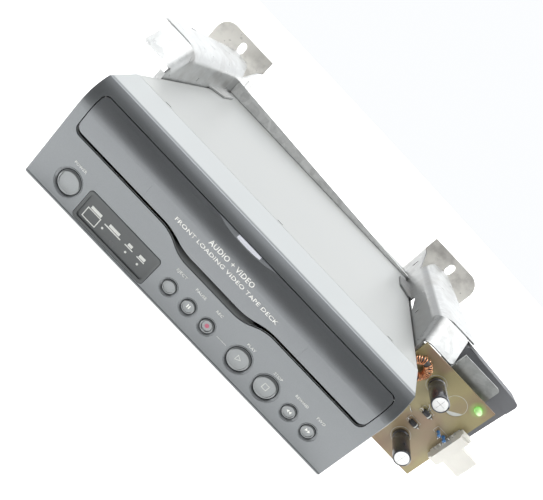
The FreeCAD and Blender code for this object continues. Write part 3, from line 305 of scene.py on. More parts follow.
# %% [markdown]
# ## Grey metallic paint
# The front, the door and the keys are moulded plastic under a grey paint with fine aluminium flakes.
# The flakes make it half a mirror, so the shader is partly metallic. Each flake catches the light a
# little differently, which cells a fifth of a millimetre wide stand for, and the lacquer over them has
# a faint orange peel.

# %% Paint of the front, door and keys
def metallic_paint(name, tone, metal, rough, silver_edge=None, key=None):
    """Flake paint. Behind silver_edge, a place along Y, it passes over into the lid's silver.

    The inner side of the door's opening is a pale, dull grey, painted light that brightens the gap under the
    door.
    A key has a dark crescent painted round the top of its face, which stands for the shade that a deeper
    recess would hold, and a thin dark line round its edge, which is painted shade of the gap round the key."""
    paint = Finish(name, Metallic=metal, Coat_Weight=0.12, Coat_Roughness=0.25, IOR=1.5)
    flake = paint.node("ShaderNodeSeparateColor", None, {0: paint.cells(0.22 * MM)})
    handling = paint.noise(38 * MM, detail=5.0, roughness=0.6)
    fine = paint.noise(0.9 * MM, detail=2.0)
    dark = colour(*(v * 0.90 for v in tone))
    bright = colour(*(min(1.0, v * 1.10) for v in tone))
    shade = paint.mix((flake * 0.55 + handling * 0.45).clamp(), dark, bright)
    if silver_edge is not None:
        silver = colour(0.43, 0.445, 0.445)
        shade = paint.mix(paint.axis("Y").above(silver_edge, 1.5 * MM), shade, silver)
        side, height = paint.axis("X"), paint.axis("Z")
        # Painted light: the inner side of the door's opening is made pale and not metallic, so the gap under
        # the door reads lighter.
        bare = (paint.axis("Y").above(FRONT + 1.4 * MM, 0.4 * MM) * height.between(27 * MM, 60 * MM, 1 * MM)
                * (1 - side.math("ABSOLUTE", side).above(130 * MM, 1 * MM)))
        shade = paint.mix(bare, shade, colour(0.50, 0.52, 0.52))
        paint.feed("Metallic", metal - bare * metal)
    if key is not None:
        centre, radius = middle(key), (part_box(key)[1].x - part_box(key)[0].x) / 2 - CAP_INSET
        across, up = paint.axis("X") - centre.x, paint.axis("Z") - centre.z

        def distance(drop):
            raised = up + drop
            return up.math("SQRT", across * across + raised * raised)

        # Painted shade: a crescent for the shade in a deeper recess, and a thin line for the shade in the gap
        # round the key.
        rim = distance(0).between(RIM_INNER * radius, RIM_OUTER * radius, 0.02 * radius)
        crescent = distance(CRESCENT_DROP * radius).above(0.95 * radius, 0.05 * radius) * (1 - rim * 0.75)
        line = distance(0).above(RIM_OUTER * radius, 0.02 * radius) * 0.8
        key_shade = crescent.math("MAXIMUM", crescent, line)
        shade = paint.mix(key_shade, shade, colour(0.030, 0.034, 0.036))
        paint.feed("Metallic", metal - key_shade * metal)
    paint.feed("Base Color", shade)
    paint.feed("Roughness", rough - 0.05 + handling * 0.10 + flake * 0.03)
    paint.bump(fine, 0.012 * MM, 0.6)
    return paint


RIDGE_Y = -134.6 * MM
CAP_INSET = 0.95 * MM
# Parts of a key cap's radius, which place the painted shade on the key.
RIM_INNER, RIM_OUTER, CRESCENT_DROP = 0.915, 0.975, 0.20
front_paint = metallic_paint("front_grey_paint", (0.196, 0.206, 0.213), 0.80, 0.35, RIDGE_Y)
door_paint = metallic_paint("door_grey_paint", (0.197, 0.206, 0.214), 0.80, 0.34)
put(front_paint, "front_bezel")
put(door_paint, "cassette_door")
for name in sorted(nodes):
    if name.endswith("_button"):
        put(metallic_paint(name + "_paint", (0.255, 0.266, 0.270), 0.70, 0.36, key=name), name)

# %% [markdown]
# ## Silver-grey enamel
# The lid is folded steel sheet under a pale enamel with a satin gloss. It is nearly even, with a slow
# drift of tone where it has been handled.

# %% Enamel of the lid
lid = Finish("lid_enamel", Metallic=0.45, Coat_Weight=0.10, Coat_Roughness=0.3, IOR=1.5)
drift = lid.noise(90 * MM, detail=4.0, roughness=0.6)
peel = lid.noise(0.8 * MM, detail=2.0)
lid.feed("Base Color", lid.mix(drift, colour(0.355, 0.366, 0.362), colour(0.415, 0.420, 0.408)))
lid.feed("Roughness", 0.34 + drift * 0.12)
lid.bump(peel, 0.010 * MM, 0.6)
put(lid, "top_cover")

# %% [markdown]
# ## Zinc coated sheet
# The brackets are cut from galvanised sheet. Zinc freezes in flat crystals, called spangle, and each
# crystal has a tone and gloss of its own. Cells give the crystals, a second, smaller set breaks them
# up, and a little dull stain lies over the ears and in scattered clouds.

# %% Spangled zinc
def spangle(name, grain, tone, stain, rough=0.34, web=None, metal_share=0.88):
    """Zinc. web is (place along X, share of the tone left) for the web inside that place, which is darkened as
    painted shade.
    """
    zinc = Finish(name, Metallic=metal_share)
    large = zinc.node("ShaderNodeSeparateColor", None, {0: zinc.cells(grain)})
    small = zinc.node("ShaderNodeSeparateColor", None, {0: zinc.cells(grain * 0.37)})
    crystal = large * 0.65 + small * 0.35
    cloud = zinc.noise(26 * MM, detail=5.0, roughness=0.62)
    scratch = zinc.noise(0.5 * MM, detail=3.0, stretch=(1, 9, 1))
    bright = colour(*tone)
    dull = colour(*(v * 0.72 for v in tone))
    metal = zinc.mix(crystal.clamp(), dull, bright)
    # Painted shade: inside the web's place the tone is darkened by the web's share.
    if web is not None:
        edge, share = web
        side = zinc.axis("X")
        inside = side.math("ABSOLUTE", side).above(edge, 1.5 * MM)
        metal = zinc.mix(inside, zinc.mix(crystal.clamp(), colour(*(v * 0.80 * share for v in tone)),
                                          colour(*(v * share for v in tone))), metal)
    stains = cloud.above(0.60, 0.22) * stain
    if web is not None:
        ear = zinc.axis("Y").above(EAR_Y, 3 * MM)
        metal = zinc.mix(ear, metal, zinc.mix(cloud.above(0.55, 0.25), colour(0.68, 0.665, 0.62),
                                              colour(0.47, 0.455, 0.435)))
        zinc.feed("Metallic", metal_share - ear * 0.55)
    zinc.feed("Base Color", zinc.mix(stains.clamp(), metal, colour(0.30, 0.275, 0.245)))
    zinc.feed("Roughness", rough - 0.08 + crystal * 0.20 + stains * 0.15)
    zinc.bump(crystal * 0.8 + scratch * 0.2, 0.012 * MM, 0.35)
    return zinc


WEB_EDGE = 138.5 * MM
EAR_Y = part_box("left_bracket")[1].y - 4 * MM
# Both brackets are the same zinc; the right web keeps far less of its tone than the left, a painted shade.
left_zinc = spangle("left_bracket_zinc", 7 * MM, (0.68, 0.69, 0.685), 0.35, web=(WEB_EDGE, 0.88))
right_zinc = spangle("right_bracket_zinc", 7 * MM, (0.66, 0.67, 0.665), 0.35, web=(WEB_EDGE, 0.42))
pan_zinc = spangle("pan_zinc", 10 * MM, (0.40, 0.41, 0.415), 0.25)
brace_zinc = spangle("brace_zinc", 8 * MM, (0.82, 0.83, 0.82), 0.15, 0.46, metal_share=0.35)
put(left_zinc, "left_bracket")
put(right_zinc, "right_bracket")
put(pan_zinc, "bottom_pan", "rear_panel")
put(brace_zinc, "cross_brace")

# %% [markdown]
# ## Plain steel, screws and machined metal
# Sheet steel from the press is brushed along its length. A turned part shows rings round its own
# axis, so the distance from that axis drives its pattern.

# %% Brushed and turned metals
def brushed(name, tone, rough, along="X", metal=1.0):
    steel = Finish(name, Metallic=metal)
    stretch = tuple(30 if letter == along else 1 for letter in "XYZ")
    grain = steel.noise(0.6 * MM, detail=4.0, stretch=stretch)
    cloud = steel.noise(30 * MM, detail=4.0)
    steel.feed("Base Color", steel.mix((grain * 0.6 + cloud * 0.4).clamp(),
                                       colour(*(v * 0.78 for v in tone)), colour(*tone)))
    steel.feed("Roughness", rough - 0.06 + grain * 0.14)
    steel.bump(grain, 0.01 * MM, 0.5)
    return steel


def turned_metal(name, tone, rough, x, y):
    metal = Finish(name, Metallic=1.0)
    rings = metal.far_from(x, y)
    groove = rings.math("SINE", rings * (2 * math.pi / (0.35 * MM))) * 0.5 + 0.5
    cloud = metal.noise(9 * MM, detail=4.0)
    metal.feed("Base Color", metal.mix((groove * 0.35 + cloud * 0.65).clamp(),
                                       colour(*(v * 0.82 for v in tone)), colour(*tone)))
    metal.feed("Roughness", rough - 0.05 + cloud * 0.12)
    metal.bump(groove, 0.006 * MM, 0.6)
    return metal


steel = brushed("pressed_steel", (0.66, 0.66, 0.65), 0.34, "Y")
screw_steel = brushed("screw_zinc", (0.58, 0.58, 0.57), 0.30, "Z")
put(steel, "side_frames", "deck_plate", "supply_guide", "takeup_guide", "capstan_shaft", "drum_shaft",
    "idler_arm", "pinch_arm", "basket_lift", "cassette_basket", "door_hinge_rod", "door_spring",
    "deck_posts", "loading_motor", "board_spacers")
put(screw_steel, "small_screws", "bracket_screws")
drum = middle("head_drum")
wheel = middle("capstan_flywheel")
put(turned_metal("drum_aluminium", (0.80, 0.80, 0.81), 0.22, drum.x, drum.y), "drum_base", "head_drum")
put(turned_metal("flywheel_brass", (0.78, 0.60, 0.30), 0.26, wheel.x, wheel.y), "capstan_flywheel")

# %% [markdown]
# ## Plastics and rubber
# Moulded parts differ in gloss and grain more than in pattern: black sockets have a fine spark-eroded
# grain, gears of white acetal are waxy, and rubber is dull with a bloom of dust.

# %% Moulded plastics and rubber
def moulded(name, tone, rough, grain=0.35 * MM, depth=0.015 * MM, shaded_top=None, **constants):
    """Moulded plastic. Above a given height it is darker: painted shade over the top face."""
    plastic = Finish(name, **constants)
    fine = plastic.noise(grain, detail=3.0)
    cloud = plastic.noise(22 * MM, detail=4.0, roughness=0.6)
    shade = plastic.mix((fine * 0.3 + cloud * 0.7).clamp(), colour(*(v * 0.82 for v in tone)),
                        colour(*(min(1.0, v * 1.15) for v in tone)))
    # Painted shade: above that height the tone is darkened, so the top face shows no lit strip.
    if shaded_top is not None:
        shade = plastic.mix(plastic.axis("Z").above(shaded_top, 0.4 * MM), shade,
                            colour(*(v * 0.30 for v in tone)))
    plastic.feed("Base Color", shade)
    plastic.feed("Roughness", rough - 0.06 + cloud * 0.12)
    plastic.bump(fine, depth, 0.6)
    return plastic


black_plastic = moulded("black_moulding", (0.028, 0.028, 0.030), 0.46)
case_plastic = moulded("module_case_moulding", (0.150, 0.154, 0.164), 0.70, grain=0.6 * MM,
                       depth=0.03 * MM, shaded_top=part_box("module_case")[1].z - 0.5 * MM)
acetal = moulded("white_acetal", (0.80, 0.79, 0.74), 0.38, Subsurface_Weight=0.05)
nylon = moulded("white_nylon", (0.70, 0.685, 0.635), 0.46, depth=0.02 * MM)
rubber = moulded("black_rubber", (0.030, 0.030, 0.031), 0.72, grain=0.8 * MM, depth=0.03 * MM)
put(black_plastic, "rear_sockets", "supply_reel_table", "takeup_reel_table", "tact_switches")
put(case_plastic, "module_case")
put(acetal, "drive_clutch", "idler_gear", "loading_gear", "loading_worm")
put(nylon, "link_socket", "link_plug")
put(rubber, "drive_belt", "pinch_roller", "flange_bumper")

# %% [markdown]
# ## Window, tab and lamp
# The window is smoked acrylic, almost as dark as the key rings, with a clean gloss. The tab at the top
# of the door is bare pale plastic. The board's lamp is lit, so its dome glows.

# %% Window, tab and lamp
smoked = Finish("smoked_window", IOR=1.49, Coat_Weight=0.2, Coat_Roughness=0.08)
haze = smoked.noise(18 * MM, detail=5.0)
smoked.feed("Base Color", smoked.mix(haze, colour(0.048, 0.053, 0.054), colour(0.068, 0.073, 0.074)))
smoked.feed("Roughness", 0.20 + haze * 0.10)
smoked.bump(smoked.noise(0.6 * MM), 0.004 * MM, 0.5)
put(smoked, "display_lens")
put(moulded("tab_plastic", (0.60, 0.61, 0.66), 0.30), "door_tab")

lamp = Finish("green_lamp", Emission_Strength=0.60, IOR=1.5, Coat_Weight=0.5)
LAMP = middle("module_lamp")


def from_lamp(finish):
    """Distance from the lamp's axis, which runs along Y."""
    dx = finish.axis("X") - LAMP.x
    dz = finish.axis("Z") - LAMP.z
    return dx.math("SQRT", dx * dx + dz * dz)


glow = lamp.noise(2 * MM, detail=2.0)
heart = 1 - (from_lamp(lamp) / (2.9 * MM)).clamp()
lamp.feed("Base Color", lamp.mix(glow, colour(0.20, 0.42, 0.14), colour(0.28, 0.52, 0.20)))
lamp.feed("Emission Color", lamp.mix((heart * 1.5).clamp(), colour(0.16, 0.62, 0.07), colour(1.0, 1.0, 0.72)))
lamp.feed("Roughness", 0.15 + glow * 0.08)
put(lamp, "module_lamp")

# %% [markdown]
# ## Circuit board
# The laminate shows through a thin green-brown lacquer, and copper runs under it in broad areas. The
# copper's outline is where a slow noise passes a threshold. Flux leaves warm stains in slow clouds over the
# copper.

# %% Board laminate
board = Finish("board_laminate", IOR=1.5, Coat_Weight=0.15, Coat_Roughness=0.2, Emission_Strength=0.55)
areas = board.noise(30 * MM, detail=3.0, roughness=0.4)
copper_area = areas.above(0.50, 0.10)
stain = board.noise(34 * MM, detail=4.0, shift=(0.3, 0.1, 0.7)).above(0.50, 0.22)
weave = board.node("ShaderNodeTexWave", {"bands_direction": "X"},
                   {"Vector": board.place(), "Scale": 1 / (4.5 * MM), "Distortion": 0.8})
bare = board.mix(weave * 0.25, colour(0.300, 0.255, 0.125), colour(0.350, 0.300, 0.160))
over_copper = board.mix(stain, colour(0.250, 0.205, 0.120), colour(0.265, 0.170, 0.120))
board.feed("Base Color", board.mix(copper_area * 0.8, bare, over_copper))
# Painted light: the board glows green round the lamp, a painted pool of the lamp's light.
lamp_light_pool = 1 - (from_lamp(board) / (7.0 * MM)).clamp()
board.feed("Emission Color", board.mix(lamp_light_pool, colour(0, 0, 0), colour(0.12, 0.62, 0.05)))
board.feed("Roughness", 0.34 + stain * 0.12)
board.bump(copper_area * 0.8 + weave * 0.1, 0.035 * MM, 0.8)
put(board, "module_board", "main_board", "front_board")
sink_metal = spangle("sink_aluminium", 4.5 * MM, (0.50, 0.515, 0.505), 0.30, 0.42)
put(sink_metal, "module_heat_sink")

# %% [markdown]
# ## Shaping tools
# A few tools make most of the added pieces. settle() bakes a piece's place into its mesh. turned() is
# a lathe: it pulls a disc from ring to ring along an axis. wire() bends a round wire through points.
# words() sets type and flat() cuts a polygon, both in a thin layer of ink, and lay_on() drapes such a
# layer over the surface that it is printed on.

# %% Tools for settling and turning pieces
def only(piece):
    bpy.ops.object.select_all(action="DESELECT")
    piece.select_set(True)
    bpy.context.view_layer.objects.active = piece


def settle(piece, place=None, smooth=None):
    """Bakes the place into the mesh, merges doubles and turns the faces outwards."""
    only(piece)
    if place is not None:
        piece.matrix_world = place
    bpy.ops.object.transform_apply(location=True, rotation=True, scale=True)
    bpy.ops.object.mode_set(mode="EDIT")
    bpy.ops.mesh.select_all(action="SELECT")
    bpy.ops.mesh.remove_doubles(threshold=1e-6)
    bpy.ops.mesh.normals_make_consistent(inside=False)
    bpy.ops.object.mode_set(mode="OBJECT")
    if smooth:
        bpy.ops.object.shade_smooth_by_angle(angle=math.radians(smooth))
    return piece


def turned(name, outline, sides=48):
    """A piece off the lathe: rings of (radius, height) joined from the bottom up."""
    radius, height = outline[0]
    bpy.ops.object.select_all(action="DESELECT")
    bpy.ops.mesh.primitive_circle_add(vertices=sides, radius=radius, fill_type="NGON", location=(0, 0, 0))
    piece = bpy.context.active_object
    piece.name = name
    bpy.ops.object.mode_set(mode="EDIT")
    bpy.ops.mesh.select_all(action="SELECT")
    bpy.ops.transform.translate(value=(0, 0, height))
    for next_radius, next_height in outline[1:]:
        bpy.ops.mesh.extrude_region_move(TRANSFORM_OT_translate={"value": (0, 0, next_height - height)})
        factor = next_radius / radius
        bpy.ops.transform.resize(value=(factor, factor, 1), center_override=(0, 0, next_height))
        radius, height = next_radius, next_height
    bpy.ops.object.mode_set(mode="OBJECT")
    return piece


def joined(name, pieces):
    bpy.ops.object.select_all(action="DESELECT")
    for piece in pieces:
        piece.select_set(True)
    bpy.context.view_layer.objects.active = pieces[0]
    if len(pieces) > 1:
        bpy.ops.object.join()
    pieces[0].name = name
    return pieces[0]


def wire(name, points, radius, steps=5, rings=2):
    bpy.ops.object.select_all(action="DESELECT")
    bpy.ops.curve.primitive_bezier_curve_add(location=(0, 0, 0))
    piece = bpy.context.active_object
    piece.name = name
    line = piece.data.splines[0]
    line.bezier_points.add(len(points) - 2)
    for knot, point in zip(line.bezier_points, points):
        knot.co = point
        knot.handle_left_type = knot.handle_right_type = "AUTO"
    piece.data.bevel_depth = radius
    piece.data.bevel_resolution = rings
    piece.data.resolution_u = steps
    piece.data.use_fill_caps = True
    bpy.ops.object.convert(target="MESH")
    return settle(bpy.context.active_object, smooth=50)


def finish_piece(piece, finish, body):
    piece.data.materials.clear()
    piece.data.materials.append(finish.material)
    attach(piece, body)
    print(piece.name, "rides", body, len(piece.data.polygons), "faces")
    return piece


# %% Tools for print
TO_FRONT = Matrix.Rotation(math.pi / 2, 4, "X")
TO_BACK = Matrix.Rotation(math.pi, 4, "Z") @ TO_FRONT
INK = 0.05 * MM


def words(name, text, height, width, spacing=1.06, bold=0.022):
    """Capital letters of that height, set to fill that width, in the plane of X and Y."""
    bpy.ops.object.select_all(action="DESELECT")
    bpy.ops.object.text_add(location=(0, 0, 0))
    piece = bpy.context.active_object
    piece.name = name
    piece.data.body = text
    piece.data.size = height * 1.38
    piece.data.space_character = spacing
    piece.data.offset = height * bold
    piece.data.resolution_u = 3
    piece.data.align_x = "CENTER"
    piece.data.align_y = "CENTER"
    bpy.ops.object.convert(target="MESH")
    piece = bpy.context.active_object
    piece.scale = (width / piece.dimensions.x, 1, 1)
    return piece


def flat(name, sides, width, height, turn=0.0, line=0.0, cuts=0):
    """A polygon of that width and height in the plane of X and Y, or only its outline."""
    bpy.ops.object.select_all(action="DESELECT")
    bpy.ops.mesh.primitive_circle_add(vertices=sides, radius=10 * MM, fill_type="NGON", location=(0, 0, 0),
                                      rotation=(0, 0, math.radians(turn)))
    piece = bpy.context.active_object
    piece.name = name
    bpy.ops.object.transform_apply(location=True, rotation=True, scale=True)
    low = [min(v.co[i] for v in piece.data.vertices) for i in (0, 1)]
    high = [max(v.co[i] for v in piece.data.vertices) for i in (0, 1)]
    piece.scale = (width / (high[0] - low[0]), height / (high[1] - low[1]), 1)
    piece.location = [-(low[i] + high[i]) / 2 * piece.scale[i] for i in (0, 1)] + [0]
    bpy.ops.object.transform_apply(location=True, rotation=True, scale=True)
    bpy.ops.object.mode_set(mode="EDIT")
    bpy.ops.mesh.select_all(action="SELECT")
    if line:
        bpy.ops.mesh.inset(thickness=line, depth=0)
        bpy.ops.mesh.delete(type="FACE")
        bpy.ops.mesh.select_all(action="SELECT")
    if cuts:
        bpy.ops.mesh.subdivide(number_cuts=cuts)
    bpy.ops.object.mode_set(mode="OBJECT")
    return piece


def thicken(piece, depth, offset=1.0):
    only(piece)
    solid = piece.modifiers.new("ink", "SOLIDIFY")
    solid.thickness = depth
    solid.offset = offset
    bpy.ops.object.modifier_apply(modifier=solid.name)
    return piece


def lay_on(piece, node, x, z, place=TO_FRONT, depth=INK):
    """Stands the layer in front of a node, presses it on along Y and gives it its thickness."""
    only(piece)
    side = -1 if place is TO_FRONT else 1
    gap = abs(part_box(node)[0 if side < 0 else 1].y) + 4 * MM
    piece.matrix_world = Matrix.Translation((x, side * gap, z)) @ place @ Matrix.Diagonal((*piece.scale, 1))
    bpy.ops.object.transform_apply(location=True, rotation=True, scale=True)
    press = piece.modifiers.new("press", "SHRINKWRAP")
    press.target = nodes[node]
    press.wrap_method = "PROJECT"
    press.use_project_y = True
    press.use_negative_direction = True
    press.use_positive_direction = True
    bpy.ops.object.modifier_apply(modifier=press.name)
    thicken(piece, depth)
    return settle(piece)


# %% [markdown]
# ## Print on the door and the front
# The maker prints its words on the finished paint in one pale ink, with a pad that follows the curve
# of the door. The words here are plain descriptions in an ordinary face. Ink is a few hundredths of a
# millimetre thick, so each word is a thin plate that is pressed on along the pad's path.

# %% Ink finishes
def ink(name, tone):
    paint = Finish(name, IOR=1.45)
    wear = paint.noise(1.2 * MM, detail=4.0, roughness=0.65)
    cloud = paint.noise(14 * MM, detail=3.0)
    paint.feed("Base Color", paint.mix((wear * 0.7 + cloud * 0.3).clamp(),
                                       colour(*(v * 0.80 for v in tone)), colour(*tone)))
    paint.feed("Roughness", 0.42 + cloud * 0.12)
    paint.bump(wear, 0.006 * MM, 0.5)
    return paint


white_ink = ink("pale_ink", (0.80, 0.80, 0.76))
grey_ink = ink("grey_ink", (0.60, 0.61, 0.58))
red_ink = ink("red_ink", (0.46, 0.11, 0.17))
dark_ink = ink("dark_ink", (0.05, 0.05, 0.055))

# %% Words on the door
for name, text, height, width, x, z in (
        ("door_words_upper", "AUDIO + VIDEO", 3.7, 38.4, -1.6, 57.9),
        ("door_words_lower", "FRONT LOADING VIDEO TAPE DECK", 2.7, 89.0, -1.0, 52.2)):
    piece = words(name, text, height * MM, width * MM)
    lay_on(piece, "cassette_door", x * MM, z * MM)
    finish_piece(piece, white_ink, "door")

# %% Words over the keys
for node, text, width, z in (
        ("power_button", "POWER", 10.2, 29.8), ("eject_button", "EJECT", 8.8, 29.4),
        ("pause_button", "PAUSE", 8.8, 29.2), ("record_button", "REC", 5.6, 29.0),
        ("play_button", "PLAY", 7.0, 28.7), ("stop_button", "STOP", 7.2, 28.3),
        ("rewind_button", "REWIND", 11.0, 28.3), ("forward_button", "FWD", 7.0, 28.2)):
    piece = words("label_" + text.lower(), text, 1.95 * MM, width * MM, 1.10, 0.03)
    lay_on(piece, "front_bezel", middle(node).x, z * MM)
    finish_piece(piece, grey_ink, "recorder")

line = flat("record_play_line", 4, 8.4 * MM, 0.28 * MM, 45)
lay_on(line, "front_bezel", 28.6 * MM, 17 * MM)
finish_piece(line, grey_ink, "recorder")

# %% [markdown]
# ## Symbols on the keys
# The symbols are the common ones: two bars for pause, a dot for record, a triangle for play, a square
# for stop, and pairs of triangles for the two winds. They ride on their keys, so they move when a key
# is pressed.

# %% Key symbols
def symbol(name, node, body, finish, pieces):
    """Puts flat pieces, each with its shift (x, z) from the key's middle, on one key."""
    where = middle(node)
    done = [lay_on(piece, node, where.x + dx * MM, where.z + dz * MM) for piece, dx, dz in pieces]
    return finish_piece(joined(name, done), finish, body)


def bar(width, height):
    return flat("bar", 4, width * MM, height * MM, 45, cuts=2)


def arrow(width, height, turn=0, line=0.0):
    return flat("arrow", 3, width * MM, height * MM, turn, line * MM, cuts=2)


symbol("pause_symbol", "pause_button", "pause_key", white_ink,
       [(bar(0.75, 2.6), -0.75, 0), (bar(0.75, 2.6), 0.75, 0)])
symbol("record_symbol", "record_button", "record_key", red_ink,
       [(flat("dot", 24, 3.0 * MM, 3.0 * MM, cuts=1), 0, 0)])
symbol("play_symbol", "play_button", "play_key", grey_ink,
       [(arrow(4.0, 4.6, -90, 0.45), 0, 0)])
symbol("stop_symbol", "stop_button", "stop_key", grey_ink,
       [(flat("square", 4, 4.2 * MM, 4.2 * MM, 45, 0.42 * MM, 2), 0, 0)])
symbol("rewind_symbol", "rewind_button", "rewind_key", white_ink,
       [(arrow(1.8, 2.4, 90), -1.0, 0), (arrow(1.8, 2.4, 90), 1.0, 0)])
symbol("forward_symbol", "forward_button", "forward_key", white_ink,
       [(arrow(1.8, 2.4, -90), -1.0, 0), (arrow(1.8, 2.4, -90), 1.0, 0)])

# %% [markdown]
# ## Marks on the display window
# Behind a smoked window the marks would be cut in a mask and lit from behind. Here they are printed on
# its face: an outline of a cassette, a row of level bars, and the dots of the lamps below them.

# %% Window marks
WINDOW = middle("display_lens")
marks = [(flat("case", 4, 11.5 * MM, 7.8 * MM, 45, 0.65 * MM, 1), -20.4, -3.1), (bar(8.8, 2.1), -20.0, 2.3),
         (bar(14.0, 0.8), -4.4, 0.4), (bar(8.9, 2.1), -4.0, 2.3), (bar(6.8, 0.7), 9.8, 0.8),
         (bar(3.6, 2.1), 9.8, 2.6), (bar(6.6, 0.7), 20.3, 0.8), (bar(5.0, 2.1), 20.5, 2.6)]
marks += [(flat("lamp_dot", 16, 1.6 * MM, 1.6 * MM), dx, -2.9) for dx in (-10.8, 10.0, 20.6)]
laid = [lay_on(piece, "display_lens", WINDOW.x + dx * MM, WINDOW.z + dz * MM) for piece, dx, dz in marks]
finish_piece(joined("window_marks", laid), grey_ink, "recorder")

# %% [markdown]
# ## Capacitor cans
# Each can is drawn from aluminium, crimped near its foot over a rubber bung, and covered with a
# shrunk sleeve that curls over its rim. The bright top is left bare and has a scored cross, where it
# splits if the can fails. The sleeve has a pale stripe on its negative side.

# %% Turn the cans
CAN_LENGTH = 29.8
CANS = ((167.3, 77.7, 60), (183.1, 29.2, 15))


def sleeve_finish(name, x, z, stripe_turn):
    sleeve = Finish(name, IOR=1.5, Coat_Weight=0.4, Coat_Roughness=0.08)
    dx = sleeve.axis("X") - x * MM
    dz = sleeve.axis("Z") - z * MM
    turn = math.radians(stripe_turn)
    along = (dx * math.cos(turn) + dz * math.sin(turn)) / (6.5 * MM)
    stripe = along.above(0.84, 0.02)
    dash = (sleeve.axis("Y") / (6 * MM)).math("FRACT", sleeve.axis("Y") / (6 * MM)).between(0.25, 0.55, 0.03)
    film = sleeve.noise(7 * MM, detail=4.0)
    black = sleeve.mix(film, colour(0.016, 0.016, 0.020), colour(0.034, 0.034, 0.042))
    pale = sleeve.mix(dash * along.above(0.93, 0.01), colour(0.33, 0.34, 0.36), colour(0.03, 0.03, 0.035))
    sleeve.feed("Base Color", sleeve.mix(stripe, black, pale))
    sleeve.feed("Roughness", 0.20 + film * 0.10)
    sleeve.bump(film, 0.02 * MM, 0.5)
    return sleeve


can_metal = Finish("can_aluminium", Metallic=0.2, IOR=1.6)
frost = can_metal.noise(0.5 * MM, detail=3.0)
can_metal.feed("Base Color", can_metal.mix(frost, colour(0.78, 0.78, 0.77), colour(0.87, 0.87, 0.86)))
can_metal.feed("Roughness", 0.36 + frost * 0.10)
can_metal.bump(frost, 0.006 * MM, 0.5)
dark_groove = moulded("scored_groove", (0.30, 0.30, 0.30), 0.5)

jacket_outline = [(5.6, 0.0), (6.1, 0.15), (6.45, 0.7), (6.5, 3.6), (5.95, 4.2), (5.8, 4.6), (5.95, 5.0),
                  (6.5, 5.7), (6.5, 28.9), (6.38, 29.4), (6.1, 29.7), (5.75, 29.75), (5.55, 29.5),
                  (5.5, 29.1)]
top_outline = [(5.49, 28.6), (5.49, 29.25), (5.3, 29.5), (4.9, 29.42), (4.6, 29.3), (2.0, 29.33)]
for index, (x, z, stripe_turn) in enumerate(CANS):
    side = "upper" if index == 0 else "lower"
    place = Matrix.Translation((x * MM, BOARD_FACE - 0.3 * MM, z * MM)) @ TO_FRONT
    jacket = turned("capacitor_sleeve_" + side, [(r * MM, h * MM) for r, h in jacket_outline], 64)
    settle(jacket, place, smooth=40)
    finish_piece(jacket, sleeve_finish("sleeve_" + side, x, z, stripe_turn), "recorder")
    if index == 0:
        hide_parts("capacitors")
    top = turned("capacitor_top_" + side, [(r * MM, h * MM) for r, h in top_outline], 64)
    settle(top, place, smooth=40)
    finish_piece(top, can_metal, "recorder")
    cross = [flat("score", 4, 7.6 * MM, 0.24 * MM, 45), flat("score", 4, 0.24 * MM, 7.6 * MM, 45)]
    for line in cross:
        thicken(line, 0.06 * MM)
        settle(line, place @ Matrix.Translation((0, 0, 29.31 * MM)))
    finish_piece(joined("capacitor_score_" + side, cross), dark_groove, "recorder")
print("cans", len(CANS), "each", CAN_LENGTH, "mm long")

# %% [markdown]
# ## Choke
# One length of lacquered copper wire is wound by hand round a ferrite ring. The turns crowd on the
# inside, fan out on the outside, and none of them lies quite like its neighbour, so the wire's path is
# a spiral round the ring with a small seeded error at each point.

# %% Wind the choke
RING_RADIUS = 6.6
CORE_RADIUS = 2.3
TURNS = 30
POINTS_A_TURN = 10
choke_place = Vector((147.3 * MM, BOARD_FACE - 5.2 * MM, 78.0 * MM))
bpy.ops.object.select_all(action="DESELECT")
bpy.ops.mesh.primitive_torus_add(major_radius=RING_RADIUS * MM, minor_radius=CORE_RADIUS * MM,
                                 major_segments=56, minor_segments=20, location=(0, 0, 0))
core = bpy.context.active_object
core.name = "choke_core"
bpy.ops.object.mode_set(mode="EDIT")
bpy.ops.mesh.select_all(action="SELECT")
bpy.ops.transform.resize(value=(1, 1, 1.15), center_override=(0, 0, 0))
bpy.ops.object.mode_set(mode="OBJECT")
settle(core, Matrix.Translation(choke_place) @ TO_FRONT, smooth=40)
finish_piece(core, moulded("ferrite", (0.060, 0.058, 0.055), 0.6), "recorder")
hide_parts("choke_coil")

chance = random.Random(7)
path = []
for step in range(TURNS * POINTS_A_TURN):
    around = math.radians(12) + math.radians(336) * step / (TURNS * POINTS_A_TURN)
    roll = 2 * math.pi * step / POINTS_A_TURN
    radius = (2.95 + chance.uniform(-0.16, 0.30)) * MM
    outward = RING_RADIUS * MM + radius * math.cos(roll)
    around += chance.uniform(-0.06, 0.06)
    path.append((outward * math.cos(around), outward * math.sin(around), radius * 1.12 * math.sin(roll)))
first, last = path[0], path[-1]
path.insert(0, (first[0] * 1.05, first[1] * 1.05, -5.4 * MM))
path.append((last[0] * 1.05, last[1] * 1.05, -5.4 * MM))
winding = wire("choke_winding", path, 0.40 * MM, steps=3, rings=2)
settle(winding, Matrix.Translation(choke_place) @ TO_FRONT @ Matrix.Rotation(math.radians(90), 4, "Z"),
       smooth=50)
copper = Finish("lacquered_copper", Metallic=0.72, Coat_Weight=0.6, Coat_Roughness=0.12)
bright_spot = copper.noise(1.6 * MM, detail=3.0)
turn_tone = copper.noise(5 * MM, detail=2.0)
copper.feed("Base Color", copper.mix((bright_spot * 0.5 + turn_tone * 0.5).above(0.5, 0.25),
                                     colour(0.62, 0.21, 0.075), colour(0.97, 0.56, 0.33)))
copper.feed("Roughness", 0.24 + turn_tone * 0.12)
copper.bump(bright_spot, 0.01 * MM, 0.4)
finish_piece(winding, copper, "recorder")

# %% [markdown]
# ## Resistors, diodes and leads
# The two blue resistors stand on end, with the upper lead bent back down beside the body. The two
# diodes lie on the board with a pale band at the cathode. All the leads are tinned copper wire.

